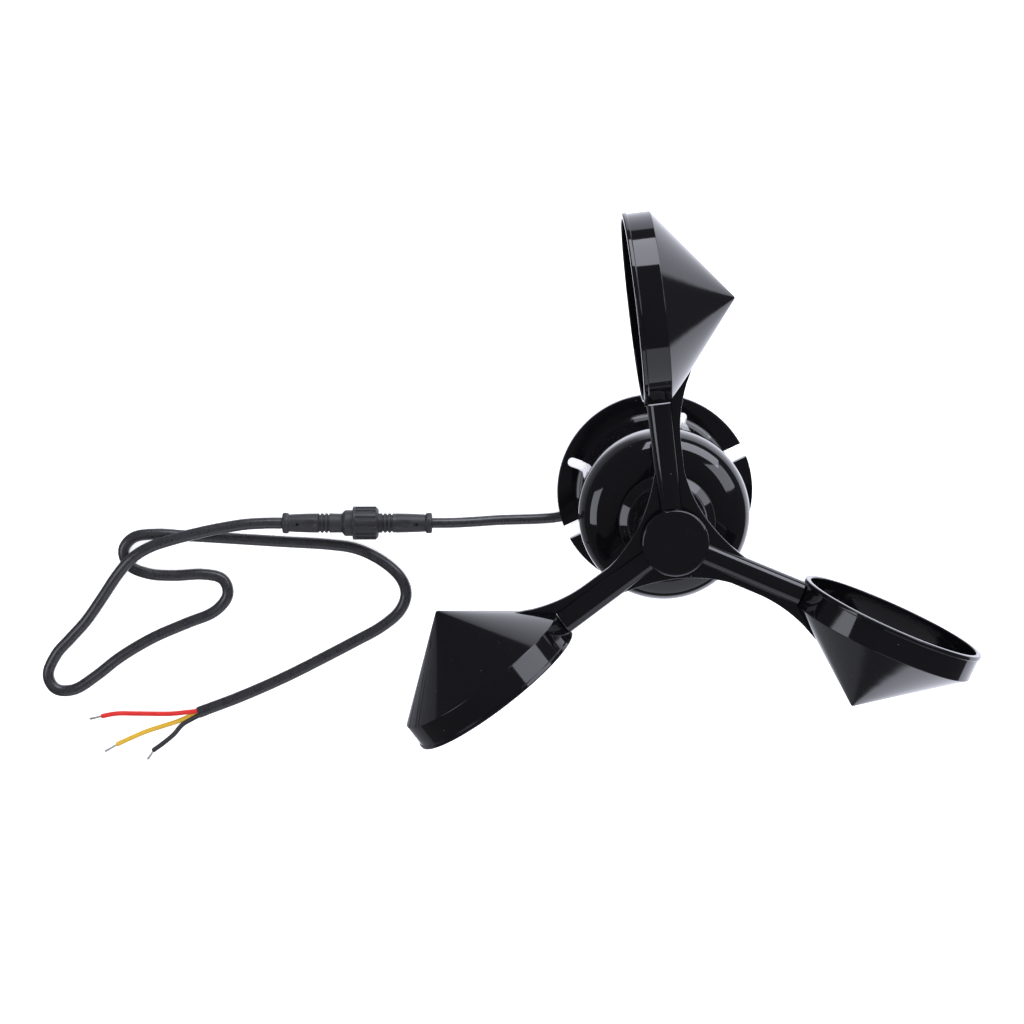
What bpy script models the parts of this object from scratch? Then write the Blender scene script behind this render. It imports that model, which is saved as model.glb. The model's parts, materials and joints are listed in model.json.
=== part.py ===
"""Three-cup wind sensor, standing on its base with its cable laid out beside it.

The wheel turns about +Z.  The origin is at the centre of the base's underside.
Sizes below are in millimetres, and MM turns them into metres.
"""
import math

import bmesh
import bpy
from mathutils import Matrix, Vector

MM = 0.001
GAP = 0.3

# ---- driving dimensions (mm) ----
FLANGE_BOTTOM = 7.0
FLANGE_R = 33.6
FLANGE_T = 3.0
SKIRT_R = 25.0
NECK_R = 26.0
NECK_BORE_R = 22.0
NECK_TOP = FLANGE_BOTTOM + 46.0
SPIGOT_R = 24.9
SPIGOT_TOP = NECK_TOP + 4.0

RIM_R = 27.8
RIM_TOP = NECK_TOP + 2.6
DOME_TOP = NECK_TOP + 16.3
TOWER_R = 9.2
TOWER_TOP = NECK_TOP + 38.0
TOWER_BOTTOM = NECK_TOP - 3.5
BEARING_SEAT_R = 7.3
LOWER_BEARING_Z = NECK_TOP - 2.0
UPPER_BEARING_Z = NECK_TOP + 32.0
BEARING_W = 5.0
BEARING_R = 7.0
OUTER_RACE_R = 5.9
INNER_RACE_R = 3.9
RACE_DEPTH = 0.3
BALL_R = 0.95
BALL_RING_R = 4.9
BALL_COUNT = 7

SHAFT_R = 2.5
SHAFT_BOTTOM = 28.0
SHAFT_TOP = 98.0
HUB_TOP = 112.0
HUB_R = 9.9
CAP_R = 10.2
CAP_T = 1.6
RECESS_R = 7.3
RECESS_FLOOR = 103.0

ARM_ANGLES = (71.5, 191.5, 311.5)
ARM_Z = 106.2
ARM_HALF_WIDTH = 3.8
ARM_HALF_HEIGHT = 3.6
WEB_T = 2.0
CUP_CENTRE_R = 71.2
CUP_R = 28.8
CUP_WALL = 1.4
CUP_BAND = 7.0
CUP_LIP = 1.3
CUP_LIP_R = 29.2
CONE_H = 23.0

SLOT_W = 3.2
NOTCH_W = 5.0
GROOVE_FLOOR_R = 23.6
LONG_SLOT_END_R = 31.7
SHORT_SLOT_END_R = 28.8
GROOVE_TOP = NECK_TOP - 7.0

BOARD_Z = 14.3
BOARD_T = 1.6
POST_RING_R = 18.4
POST_ANGLES = (90.0, 210.0, 330.0)
POST_TOP = BOARD_Z - GAP
POST_R = 2.7
PILOT_R = 1.3
COVER_T = 1.5
COVER_PAD = 3.0
PAD_R = 3.0
SINK_R = 2.5
SCREW_HEAD_R = 2.2
SCREW_HEAD_T = 1.0
SCREW_SHANK_R = 1.0
CARRIER_R = 11.0
MAGNET_R = 2.0
MAGNET_RING_R = 7.5

SENSOR_CABLE_R = 1.8
EXTENSION_R = 2.0
CORE_R = 0.75
TIP_R = 0.45
CABLE_EXIT_Y = 4.4
CABLE_EXIT_Z = 3.9

CONNECTOR_START = Vector((-74.4, 22.4, 5.9))
CONNECTOR_ANGLE = 154.5
CONNECTOR_LENGTH = 51.8
CONNECTOR_R = 3.3
CONNECTOR_BEAD_R = 3.55
NUT_R = 5.75
NUT_VALLEY_R = 5.3
NUT_RIBS = 14
NUT_LOW = 18.6
NUT_HIGH = 27.4

# Cable routes, through points set by hand.
SENSOR_ROUTE = [(-12, 4.4, 3.9), (-18, 4.4, 3.9), (-24, 4.4, 3.9), (-28.5, 4.4, 3.8),
                (-34, 5.0, 3.0), (-41, 7.4, 2.1), (-53, 12.7, 2.3), (-61, 16.2, 4.1),
                (-68, 19.4, 5.7), (-74.1, 22.3, 5.9)]
EXTENSION_ROUTE = [(-121.4, 44.8, 5.9), (-127, 47.4, 5.9), (-133.5, 50, 5.9), (-141, 52.2, 6.1),
                   (-149, 54.2, 6.5), (-158, 56, 7.0), (-166, 57, 7.1), (-173.5, 56.2, 7.0),
                   (-181, 53, 6.0), (-190, 47.8, 3.9), (-199, 42.8, 2.5), (-207, 39.5, 2.1),
                   (-214, 36.6, 2.1), (-220, 31.5, 2.1), (-220, 25.5, 2.1), (-214, 22.5, 2.1),
                   (-205, 23.6, 2.1), (-194, 26, 2.1), (-181, 27.2, 2.1), (-168, 26.8, 2.1),
                   (-157.5, 26.3, 2.1), (-150.5, 29.5, 2.1), (-149.5, 35.5, 2.1), (-155, 40, 2.1),
                   (-164, 43.8, 2.1), (-171.5, 48, 2.1), (-176.5, 53.5, 2.1), (-176, 59.5, 2.1),
                   (-170.5, 62, 2.1), (-163, 59.6, 2.1), (-155, 55.2, 2.1), (-147, 50.8, 2.1),
                   (-137.5, 45.5, 2.1), (-124, 38, 2.1), (-111, 30.8, 2.1), (-102.5, 25, 2.1),
                   (-96.5, 17.5, 2.1), (-93.2, 9.5, 2.1), (-94, 3, 2.1), (-99, -1.6, 2.1),
                   (-107.5, -3.8, 2.1), (-117, -4.4, 2.1), (-128, -4.9, 2.1), (-145, -5.4, 2.1),
                   (-162, -5, 2.1), (-178, -3.8, 2.1)]
CORE_ROUTES = {
    "red": [(-178.3, -2.9, 2.6), (-183, -1.6, 2.1), (-188.6, 0.3, 1.3), (-198.5, 5, 0.85),
            (-205, 8.1, 0.85), (-210.4, 9.6, 0.85)],
    "yellow": [(-178.3, -3.8, 1.05), (-187, -3.6, 0.85), (-198, -2.2, 0.85),
               (-206, -1.9, 0.85), (-210.2, -1.9, 0.85)],
    "black": [(-178.3, -4.7, 2.6), (-182, -4.9, 1.8), (-186, -5.4, 1.1), (-190.4, -7.3, 0.85),
              (-195, -8.5, 0.85), (-199.7, -9.4, 0.85)],
}
TIP_ENDS = {"red": (-214.8, 10.5, 0.6), "yellow": (-215.3, -2.4, 0.6), "black": (-202.9, -11.5, 0.6)}


# ---- helpers ----
def clear_scene():
    """Remove whatever the open file holds."""
    for obj in list(bpy.data.objects):
        bpy.data.objects.remove(obj, do_unlink=True)


def make_material(name, colour, roughness, metallic=0.0):
    """One Principled material."""
    mat = bpy.data.materials.new(name)
    mat.use_nodes = True
    shader = mat.node_tree.nodes["Principled BSDF"]
    shader.inputs["Base Color"].default_value = (*colour, 1.0)
    shader.inputs["Roughness"].default_value = roughness
    shader.inputs["Metallic"].default_value = metallic
    return mat


def to_object(name, bm, mat, matrix=None):
    """Close a bmesh (in mm) into a named object in metres."""
    if matrix is not None:
        bmesh.ops.transform(bm, matrix=matrix, verts=bm.verts)
    bmesh.ops.scale(bm, vec=(MM, MM, MM), verts=bm.verts)
    bmesh.ops.recalc_face_normals(bm, faces=bm.faces)
    if bm.calc_volume(signed=True) < 0:
        bmesh.ops.reverse_faces(bm, faces=bm.faces)
    mesh = bpy.data.meshes.new(name)
    bm.to_mesh(mesh)
    bm.free()
    mesh.shade_smooth()
    mesh.set_sharp_from_angle(angle=math.radians(32))
    obj = bpy.data.objects.new(name, mesh)
    bpy.context.scene.collection.objects.link(obj)
    if mat is not None:
        mesh.materials.append(mat)
    return obj


def turned_bmesh(profile, segments):
    """Spin a closed outline of (radius, height) points about Z."""
    bm = bmesh.new()
    verts = [bm.verts.new((r, 0.0, z)) for r, z in profile]
    edges = [bm.edges.new((verts[i], verts[(i + 1) % len(verts)])) for i in range(len(verts))]
    bmesh.ops.spin(bm, geom=verts + edges, cent=(0, 0, 0), axis=(0, 0, 1), dvec=(0, 0, 0),
                   angle=math.tau, steps=segments, use_merge=True, use_duplicate=False)
    bmesh.ops.remove_doubles(bm, verts=bm.verts, dist=1e-4)
    bmesh.ops.dissolve_degenerate(bm, dist=1e-4, edges=bm.edges)
    return bm


def turned(name, profile, segments, mat, matrix=None):
    """A turned piece."""
    return to_object(name, turned_bmesh(profile, segments), mat, matrix)


def ring(name, inner, outer, low, high, segments, mat, matrix=None):
    """A plain ring."""
    profile = [(inner, low), (outer, low), (outer, high), (inner, high)]
    return turned(name, profile, segments, mat, matrix)


def disc(name, radius, low, high, segments, mat, matrix=None):
    """A plain solid disc or rod."""
    profile = [(0, low), (radius, low), (radius, high), (0, high)]
    return turned(name, profile, segments, mat, matrix)


def box_bmesh(low, high):
    """A box between two corners."""
    bm = bmesh.new()
    bmesh.ops.create_cube(bm, size=1.0)
    low, high = Vector(low), Vector(high)
    bmesh.ops.scale(bm, vec=high - low, verts=bm.verts)
    bmesh.ops.translate(bm, vec=(low + high) / 2, verts=bm.verts)
    return bm


def box(name, low, high, mat, matrix=None):
    """A box piece."""
    return to_object(name, box_bmesh(low, high), mat, matrix)


def prism(name, outline, low, high, mat, matrix=None):
    """An outline of (x, y) points extruded from low to high."""
    bm = bmesh.new()
    face = bm.faces.new([bm.verts.new((x, y, low)) for x, y in outline])
    grown = bmesh.ops.extrude_face_region(bm, geom=[face])
    top = [item for item in grown["geom"] if isinstance(item, bmesh.types.BMVert)]
    bmesh.ops.translate(bm, vec=(0, 0, high - low), verts=top)
    return to_object(name, bm, mat, matrix)


def helper(obj):
    """Mark a cutter or a join piece, which the build leaves out."""
    obj.hide_render = True
    obj.display_type = "WIRE"
    return obj


def boolean(target, tool, operation):
    """Add one live Boolean modifier."""
    modifier = target.modifiers.new(tool.name, "BOOLEAN")
    modifier.operation = operation
    modifier.solver = "EXACT"
    modifier.object = helper(tool)


def join(target, tool):
    """Union a helper into a piece."""
    boolean(target, tool, "UNION")


def cut(target, tool):
    """Cut a helper out of a piece."""
    boolean(target, tool, "DIFFERENCE")


def round_edges(obj, width, segments):
    """A live Bevel on the sharper edges."""
    modifier = obj.modifiers.new("round", "BEVEL")
    modifier.width = width * MM
    modifier.segments = segments
    modifier.limit_method = "ANGLE"
    modifier.angle_limit = math.radians(40)


def spun(angle):
    """A turn about the wheel's axis, in degrees."""
    return Matrix.Rotation(math.radians(angle), 4, "Z")


def moved(x, y, z):
    """A shift in millimetres."""
    return Matrix.Translation((x, y, z))


def smooth_route(points, spacing):
    """Points at an even spacing along a smooth curve through a route."""
    route = [Vector(p) for p in points]
    route = [2 * route[0] - route[1]] + route + [2 * route[-1] - route[-2]]
    fine = []
    for i in range(1, len(route) - 2):
        a, b, c, d = route[i - 1:i + 3]
        for step in range(16):
            t = step / 16
            fine.append(0.5 * (2 * b + (c - a) * t + (2 * a - 5 * b + 4 * c - d) * t ** 2
                               + (3 * b - a - 3 * c + d) * t ** 3))
    fine.append(route[-2])
    lengths = [0.0]
    for before, after in zip(fine, fine[1:]):
        lengths.append(lengths[-1] + (after - before).length)
    count = max(2, round(lengths[-1] / spacing))
    result = []
    place = 0
    for k in range(count + 1):
        target = lengths[-1] * k / count
        while place < len(fine) - 2 and lengths[place + 1] < target:
            place += 1
        span = lengths[place + 1] - lengths[place]
        result.append(fine[place].lerp(fine[place + 1], (target - lengths[place]) / span))
    return result


def cord(name, route, radius, mat, spacing_in_diameters=2.2):
    """A round tube along a smooth route."""
    curve = bpy.data.curves.new(name, "CURVE")
    curve.dimensions = "3D"
    curve.bevel_depth = radius * MM
    curve.bevel_resolution = 2
    curve.use_fill_caps = True
    points = smooth_route(route, spacing_in_diameters * 2 * radius)
    spline = curve.splines.new("POLY")
    spline.points.add(len(points) - 1)
    for slot, point in zip(spline.points, points):
        slot.co = (*(point * MM), 1.0)
    curve.materials.append(mat)
    obj = bpy.data.objects.new(name, curve)
    bpy.context.scene.collection.objects.link(obj)
    return obj


# ---- materials ----
def make_materials():
    """Every material of the sensor, by its use."""
    return {
        "gloss": make_material("gloss_black_plastic", (0.012, 0.012, 0.014), 0.12),
        "satin": make_material("satin_black_plastic", (0.03, 0.03, 0.033), 0.45),
        "rubber": make_material("black_rubber", (0.02, 0.02, 0.02), 0.7),
        "jacket": make_material("cable_jacket", (0.02, 0.02, 0.023), 0.4),
        "steel": make_material("bearing_steel", (0.6, 0.6, 0.6), 0.25, 1.0),
        "brass": make_material("contact_brass", (0.8, 0.6, 0.3), 0.3, 1.0),
        "magnet": make_material("magnet_nickel", (0.55, 0.55, 0.56), 0.3, 1.0),
        "carrier": make_material("carrier_plastic", (0.85, 0.84, 0.8), 0.5),
        "board": make_material("board_green", (0.03, 0.2, 0.07), 0.4),
        "chip": make_material("component_black", (0.03, 0.03, 0.03), 0.5),
        "red": make_material("core_red", (0.75, 0.03, 0.03), 0.4),
        "yellow": make_material("core_yellow", (0.85, 0.55, 0.03), 0.4),
        "black": make_material("core_black", (0.02, 0.02, 0.02), 0.4),
        "tin": make_material("tinned_copper", (0.75, 0.74, 0.72), 0.3, 1.0),
    }


# ---- housing ----
def slot_outline(end_radius, width):
    """A radial slot with a round outer end, pointing along +X."""
    half = width / 2
    centre = end_radius - half
    arc = [(centre + half * math.sin(math.pi * k / 6), -half * math.cos(math.pi * k / 6))
           for k in range(7)]
    return arc + [(GROOVE_FLOOR_R, half), (GROOVE_FLOOR_R, -half)]


def build_lower_housing(mats):
    """The flange, the short skirt it stands on, and the hollow neck."""
    top = FLANGE_BOTTOM + FLANGE_T
    profile = [(NECK_BORE_R, 0), (SKIRT_R - 0.4, 0), (SKIRT_R, 0.4), (SKIRT_R, FLANGE_BOTTOM),
               (FLANGE_R - 0.4, FLANGE_BOTTOM), (FLANGE_R, FLANGE_BOTTOM + 0.4),
               (FLANGE_R, top - 0.4), (FLANGE_R - 0.4, top), (NECK_R + 1, top),
               (NECK_R + 1, top + 1.1), (NECK_R, top + 1.7), (NECK_R, NECK_TOP),
               (SPIGOT_R, NECK_TOP), (SPIGOT_R, NECK_TOP + 1), (SPIGOT_R - 1, NECK_TOP + 1),
               (SPIGOT_R - 1, NECK_TOP + 2.6), (SPIGOT_R, NECK_TOP + 2.6),
               (SPIGOT_R, SPIGOT_TOP), (NECK_BORE_R, SPIGOT_TOP)]
    housing = turned("lower_housing", profile, 36, mats["gloss"])
    low = COVER_PAD + GAP
    post_profile = [(0, low + 5), (PILOT_R, low + 5), (PILOT_R, low), (POST_R, low), (POST_R, POST_TOP),
                    (PILOT_R, POST_TOP), (PILOT_R, POST_TOP - 4.2), (0, POST_TOP - 4.2)]
    for angle in POST_ANGLES:
        join(housing, turned(f"post_{angle:.0f}", post_profile, 12, None,
                             spun(angle) @ moved(POST_RING_R, 0, 0)))
        rib = box(f"rib_{angle:.0f}", (POST_RING_R + 1.9, -1.1, low + 0.6),
                  (NECK_BORE_R + 1, 1.1, POST_TOP - 0.6), None, spun(angle))
        join(housing, rib)
    for angle in (0, 180):
        notch = box(f"notch_{angle}", (NECK_R - 0.4, -NOTCH_W / 2, FLANGE_BOTTOM - 0.6),
                    (FLANGE_R + 2, NOTCH_W / 2, top + 2.4), None, spun(angle))
        cut(housing, notch)
    for angle, end in ((45, SHORT_SLOT_END_R), (135, LONG_SLOT_END_R),
                       (225, SHORT_SLOT_END_R), (315, LONG_SLOT_END_R)):
        slot = prism(f"slot_{angle}", slot_outline(end, SLOT_W), -1, GROOVE_TOP, None, spun(angle))
        cut(housing, slot)
    cable_way = box("cable_way", (-SKIRT_R - 2, CABLE_EXIT_Y - 3.2, -1),
                    (-NECK_BORE_R + 3, CABLE_EXIT_Y + 3.2, FLANGE_BOTTOM - 0.2), None)
    cut(housing, cable_way)


def build_upper_housing(mats):
    """The dome, with the tower that carries both bearings."""
    centre_r = 13.0
    reach = RIM_R - centre_r
    rise = DOME_TOP - RIM_TOP
    outer_arc = [(centre_r + reach * math.sin(math.radians(a)),
                  RIM_TOP + rise * math.cos(math.radians(a))) for a in (6, 26, 44, 60, 75, 90)]
    wall = 2.2
    inner_arc = [(centre_r + (reach - wall - 0.6) * math.sin(math.radians(a)),
                  RIM_TOP + (rise - wall) * math.cos(math.radians(a))) for a in (68, 38, 8)]
    seat = BEARING_SEAT_R
    profile = [(seat, TOWER_TOP), (TOWER_R, TOWER_TOP), (TOWER_R, DOME_TOP + 1.2),
               (TOWER_R + 0.9, DOME_TOP + 0.2)] + outer_arc
    profile += [(RIM_R, NECK_TOP + 0.9), (RIM_R - 0.6, NECK_TOP + GAP), (SPIGOT_R + GAP, NECK_TOP + GAP),
                (SPIGOT_R + GAP, SPIGOT_TOP + 0.4)]
    profile += inner_arc
    profile += [(TOWER_R + 0.2, RIM_TOP + rise - wall), (TOWER_R + 0.2, TOWER_BOTTOM),
                (seat, TOWER_BOTTOM), (seat, LOWER_BEARING_Z + BEARING_W + GAP),
                (OUTER_RACE_R, LOWER_BEARING_Z + BEARING_W + GAP), (OUTER_RACE_R, UPPER_BEARING_Z - GAP),
                (seat, UPPER_BEARING_Z - GAP)]
    turned("upper_housing", profile, 30, mats["gloss"])


def build_bottom_cover(mats):
    """The flat cover that closes the skirt, with three screw pads."""
    edge = NECK_BORE_R - GAP
    cover = turned("bottom_cover", [(0, 0), (edge - 0.4, 0), (edge, 0.4), (edge, COVER_T), (0, COVER_T)],
                   28, mats["gloss"])
    for angle in POST_ANGLES:
        spot = spun(angle) @ moved(POST_RING_R, 0, 0)
        join(cover, disc(f"pad_{angle:.0f}", PAD_R, 0.8, COVER_PAD, 12, None, spot))
        sink = [(0, -1), (SINK_R, -1), (SINK_R, 1.6), (PILOT_R, 1.6), (PILOT_R, COVER_PAD + 1),
                (0, COVER_PAD + 1)]
        cut(cover, turned(f"sink_{angle:.0f}", sink, 12, None, spot))


def screw_profile(head_r, head_low, head_high, shank_r, tip):
    """A screw pointing away from its head."""
    if tip > head_high:
        return [(0, head_low), (head_r, head_low), (head_r, head_high), (shank_r, head_high),
                (shank_r, tip - 0.6), (0, tip)]
    return [(0, tip), (shank_r, tip + 0.6), (shank_r, head_low), (head_r, head_low),
            (head_r, head_high), (0, head_high)]


def build_screws(mats):
    """Cover screws from below and board screws from above, on the same posts."""
    cover_profile = screw_profile(SCREW_HEAD_R, GAP, GAP + SCREW_HEAD_T, SCREW_SHANK_R, COVER_PAD + 4.4)
    board_top = BOARD_Z + BOARD_T + GAP
    board_profile = screw_profile(SCREW_HEAD_R, board_top, board_top + 1.3, SCREW_SHANK_R, POST_TOP - 3.6)
    for number, angle in enumerate(POST_ANGLES, 1):
        spot = spun(angle) @ moved(POST_RING_R, 0, 0)
        turned(f"cover_screw_{number}", cover_profile, 12, mats["steel"], spot)
        turned(f"board_screw_{number}", board_profile, 12, mats["steel"], spot)


def build_seal(mats):
    """The ring in the spigot's groove."""
    ring("housing_seal", SPIGOT_R - 0.7, SPIGOT_R, NECK_TOP + 1.3, NECK_TOP + 2.3, 28, mats["rubber"])


def build_grommet(mats):
    """The block that closes the cable's slot in the skirt."""
    top = FLANGE_BOTTOM - 0.5
    y = CABLE_EXIT_Y
    grommet = box("cable_grommet", (-SKIRT_R - 0.6, y - 2.8, 0.3), (-NECK_BORE_R, y + 2.8, top),
                  mats["rubber"])
    plate = box("grommet_plate", (-SKIRT_R - 1.6, y - 3.6, 0.3), (-SKIRT_R - 0.4, y + 3.6, top), None)
    join(grommet, plate)
    along_x = Matrix.Rotation(math.radians(90), 4, "Y")
    bore = disc("grommet_bore", SENSOR_CABLE_R + 0.35, -SKIRT_R - 6, -NECK_BORE_R + 6, 16, None,
                moved(0, y, CABLE_EXIT_Z) @ along_x)
    cut(grommet, bore)
    ring("cable_tie", SENSOR_CABLE_R + 0.15, SENSOR_CABLE_R + 0.5, -1.0, 1.0, 16, mats["satin"],
         moved(-18.2, y, CABLE_EXIT_Z) @ along_x)


# ---- electronics ----
def build_board(mats):
    """The circuit board and what is soldered to it."""
    board = disc("circuit_board", NECK_BORE_R - 0.8, BOARD_Z, BOARD_Z + BOARD_T, 24, mats["board"])
    for angle in POST_ANGLES:
        cut(board, disc(f"board_hole_{angle:.0f}", 1.4, BOARD_Z - 1, BOARD_Z + BOARD_T + 1, 8, None,
                        spun(angle) @ moved(POST_RING_R, 0, 0)))
    top = BOARD_Z + BOARD_T + GAP
    under = BOARD_Z - GAP
    sensor = box("hall_sensor", (6.2, -2.0, top + 3.2), (7.8, 2.0, top + 7.2), mats["chip"])
    for side in (-1.3, 0.0, 1.3):
        leg = box(f"leg_{side:+.0f}", (6.8, side - 0.25, top), (7.2, side + 0.25, top + 3.6), None)
        join(sensor, leg)
    regulator = box("voltage_regulator", (-10, 5, top), (-4, 9, top + 1.8), mats["chip"])
    round_edges(regulator, 0.3, 1)
    disc("capacitor", 3.0, top, top + 6.5, 16, mats["satin"], moved(-6, -8, 0))
    box("board_socket", (-11.6, CABLE_EXIT_Y - 3.4, 2.0), (-4.6, CABLE_EXIT_Y + 3.4, under), mats["carrier"])


# ---- rotor ----
def build_bearing(place, low, mats):
    """A small ball bearing: outer ring, inner ring and the caged balls."""
    middle = low + BEARING_W / 2
    outer = [(OUTER_RACE_R, low), (BEARING_R, low), (BEARING_R, low + BEARING_W),
             (OUTER_RACE_R, low + BEARING_W), (OUTER_RACE_R, middle + 0.8),
             (OUTER_RACE_R + RACE_DEPTH, middle), (OUTER_RACE_R, middle - 0.8)]
    turned(f"bearing_outer_{place}", outer, 18, mats["steel"])
    inner = [(SHAFT_R + GAP, low), (INNER_RACE_R, low), (INNER_RACE_R, middle - 0.8),
             (INNER_RACE_R - RACE_DEPTH, middle), (INNER_RACE_R, middle + 0.8),
             (INNER_RACE_R, low + BEARING_W), (SHAFT_R + GAP, low + BEARING_W)]
    turned(f"bearing_inner_{place}", inner, 16, mats["steel"])
    cage = ring(f"ball_cage_{place}", BALL_RING_R - 0.3, BALL_RING_R + 0.3, middle - 0.6, middle + 0.6, 14,
                mats["brass"])
    for k in range(BALL_COUNT):
        bm = bmesh.new()
        bmesh.ops.create_uvsphere(bm, u_segments=6, v_segments=4, radius=BALL_R)
        spot = spun(k * 360 / BALL_COUNT) @ moved(BALL_RING_R, 0, middle)
        ball = to_object(f"ball_{place}_{k}", bm, None, spot)
        join(cage, ball)


def build_shaft(mats):
    """The shaft, its circlip and the spacer under the hub."""
    bore = SHAFT_R - 0.7
    profile = [(0, SHAFT_BOTTOM), (SHAFT_R - 0.4, SHAFT_BOTTOM), (SHAFT_R, SHAFT_BOTTOM + 0.4),
               (SHAFT_R, SHAFT_TOP), (bore, SHAFT_TOP), (bore, SHAFT_TOP - 8.5), (0, SHAFT_TOP - 8.5)]
    turned("shaft", profile, 20, mats["steel"])
    ring("shaft_circlip", SHAFT_R + GAP, 4.2, LOWER_BEARING_Z - 1.0, LOWER_BEARING_Z - GAP, 20,
         mats["steel"])
    top = UPPER_BEARING_Z + BEARING_W
    ring("shaft_spacer", SHAFT_R + GAP, 4.2, top + GAP, top + 1.1, 20, mats["brass"])


def build_magnet_carrier(mats):
    """The disc at the shaft's foot that carries two magnets past the sensor."""
    low, high = SHAFT_BOTTOM - 1.5, SHAFT_BOTTOM + 5.0
    bore = SHAFT_R + GAP
    profile = [(0, low), (CARRIER_R, low), (CARRIER_R, low + 3.2), (5, low + 3.2), (5, high), (bore, high),
               (bore, SHAFT_BOTTOM - GAP), (0, SHAFT_BOTTOM - GAP)]
    carrier = turned("magnet_carrier", profile, 20, mats["carrier"])
    for number, angle in enumerate((30, 210), 1):
        spot = spun(angle) @ moved(MAGNET_RING_R, 0, 0)
        cut(carrier, disc(f"pocket_{number}", MAGNET_R + GAP, low - 1, low + 2.3, 12, None, spot))
        disc(f"magnet_{number}", MAGNET_R, low + 0.2, low + 2.0, 12, mats["magnet"], spot)


def arm_web_outline():
    """The flat web under the arms: one closed outline, three times the same arm.

    In an arm's own frame x runs out along the arm and the cone is on the -y side.
    """
    foot = 5.3
    flare = [(30 + 23 * k / 5, -foot - 6.4 * (k / 5) ** 2) for k in range(6)]
    slope = CONE_H / CUP_R
    reach = math.hypot(1, slope)
    clear = GAP + 0.1
    cone_foot = CUP_CENTRE_R - CUP_R
    along_cone = []
    for depth in (8.2, 0.0):
        x = cone_foot + depth / slope
        along_cone.append((x - clear * slope / reach, -CUP_BAND / 2 - depth - clear / reach))
    tip = CUP_CENTRE_R - CUP_LIP_R - GAP
    arm = [(21, -foot)] + flare[:-1] + along_cone + [(tip, -CUP_BAND / 2), (tip, ARM_HALF_WIDTH - 0.4),
                                                     (23, ARM_HALF_WIDTH - 0.4)]
    outline = []
    for k in range(3):
        turn = spun(ARM_ANGLES[0] + 120 * k)
        following = spun(ARM_ANGLES[0] + 120 * (k + 1))
        points = [turn @ Vector((x, y, 0)) for x, y in arm]
        start, end = points[-1], following @ Vector((21, -foot, 0))
        pull = turn @ Vector((9 * math.cos(math.radians(63)), 9 * math.sin(math.radians(63)), 0))
        valley = [(1 - t) ** 2 * start + 2 * t * (1 - t) * pull + t ** 2 * end
                  for t in (j / 8 for j in range(1, 8))]
        outline += [(p.x, p.y) for p in points + valley]
    return outline


def build_spider(mats):
    """The hub with its bell-shaped rain skirt, three arms and their web."""
    ceiling = TOWER_TOP + 1.3
    body_top = HUB_TOP - CAP_T - GAP
    profile = [(0, body_top), (HUB_R, body_top), (HUB_R, 102), (10.4, 98), (11.3, 91),
               (12.0, 83), (12.5, 77.6), (13.3, 76), (15.1, 73.6), (15.4, 72.9), (15.4, 71),
               (14.3, 71), (14.3, 72.6), (11.4, 77.2), (10.4, ceiling), (4.3, ceiling), (4.3, 91.4),
               (SHAFT_R + GAP, 91.4), (SHAFT_R + GAP, SHAFT_TOP + GAP), (1.9, SHAFT_TOP + GAP),
               (1.9, RECESS_FLOOR - 0.5), (0, RECESS_FLOOR - 0.5)]
    spider = turned("rotor_spider", profile, 28, mats["gloss"])
    web = prism("arm_web", arm_web_outline(), ARM_Z - WEB_T / 2, ARM_Z + WEB_T / 2, None)
    join(spider, web)
    end = CUP_CENTRE_R - CUP_LIP_R - GAP
    for angle in ARM_ANGLES:
        rod = box(f"rod_{angle:.0f}", (8.2, -ARM_HALF_WIDTH, ARM_Z - ARM_HALF_HEIGHT),
                  (end, ARM_HALF_WIDTH, ARM_Z + ARM_HALF_HEIGHT), None, spun(angle))
        modifier = rod.modifiers.new("round", "BEVEL")
        modifier.width = 2.9 * MM
        modifier.segments = 3
        modifier.limit_method = "WEIGHT"
        weights = rod.data.attributes.new("bevel_weight_edge", "FLOAT", "EDGE")
        along = spun(angle) @ Vector((1, 0, 0))
        for edge in rod.data.edges:
            a, b = (rod.data.vertices[i].co for i in edge.vertices)
            weights.data[edge.index].value = 1.0 if abs((b - a).normalized().dot(along)) > 0.9 else 0.0
        join(spider, rod)
    recess = disc("cap_recess", RECESS_R, RECESS_FLOOR, HUB_TOP + 1, 20, None)
    cut(spider, recess)
    cut(spider, disc("screw_way", 1.9, RECESS_FLOOR - 2, RECESS_FLOOR + 1, 10, None))


def build_hub_cap(mats):
    """The flat cap pressed into the hub's recess."""
    under = HUB_TOP - CAP_T
    spigot = RECESS_R - GAP
    profile = [(0, under - 3.2), (spigot - 0.3, under - 3.2), (spigot, under - 2.9), (spigot, under),
               (CAP_R - 0.2, under), (CAP_R, under + 0.2), (CAP_R, HUB_TOP - 0.45),
               (CAP_R - 0.45, HUB_TOP), (0, HUB_TOP)]
    turned("hub_cap", profile, 28, mats["gloss"])


def build_rotor_screw(mats):
    """The screw that clamps the hub to the shaft, on its spring washer."""
    ring("spring_washer", 1.9, 3.2, RECESS_FLOOR + GAP, RECESS_FLOOR + 0.8, 16, mats["steel"])
    head = RECESS_FLOOR + 1.1
    turned("rotor_screw", screw_profile(2.9, head, head + 2.0, 1.5, SHAFT_TOP - 8.0), 16, mats["steel"])


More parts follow.
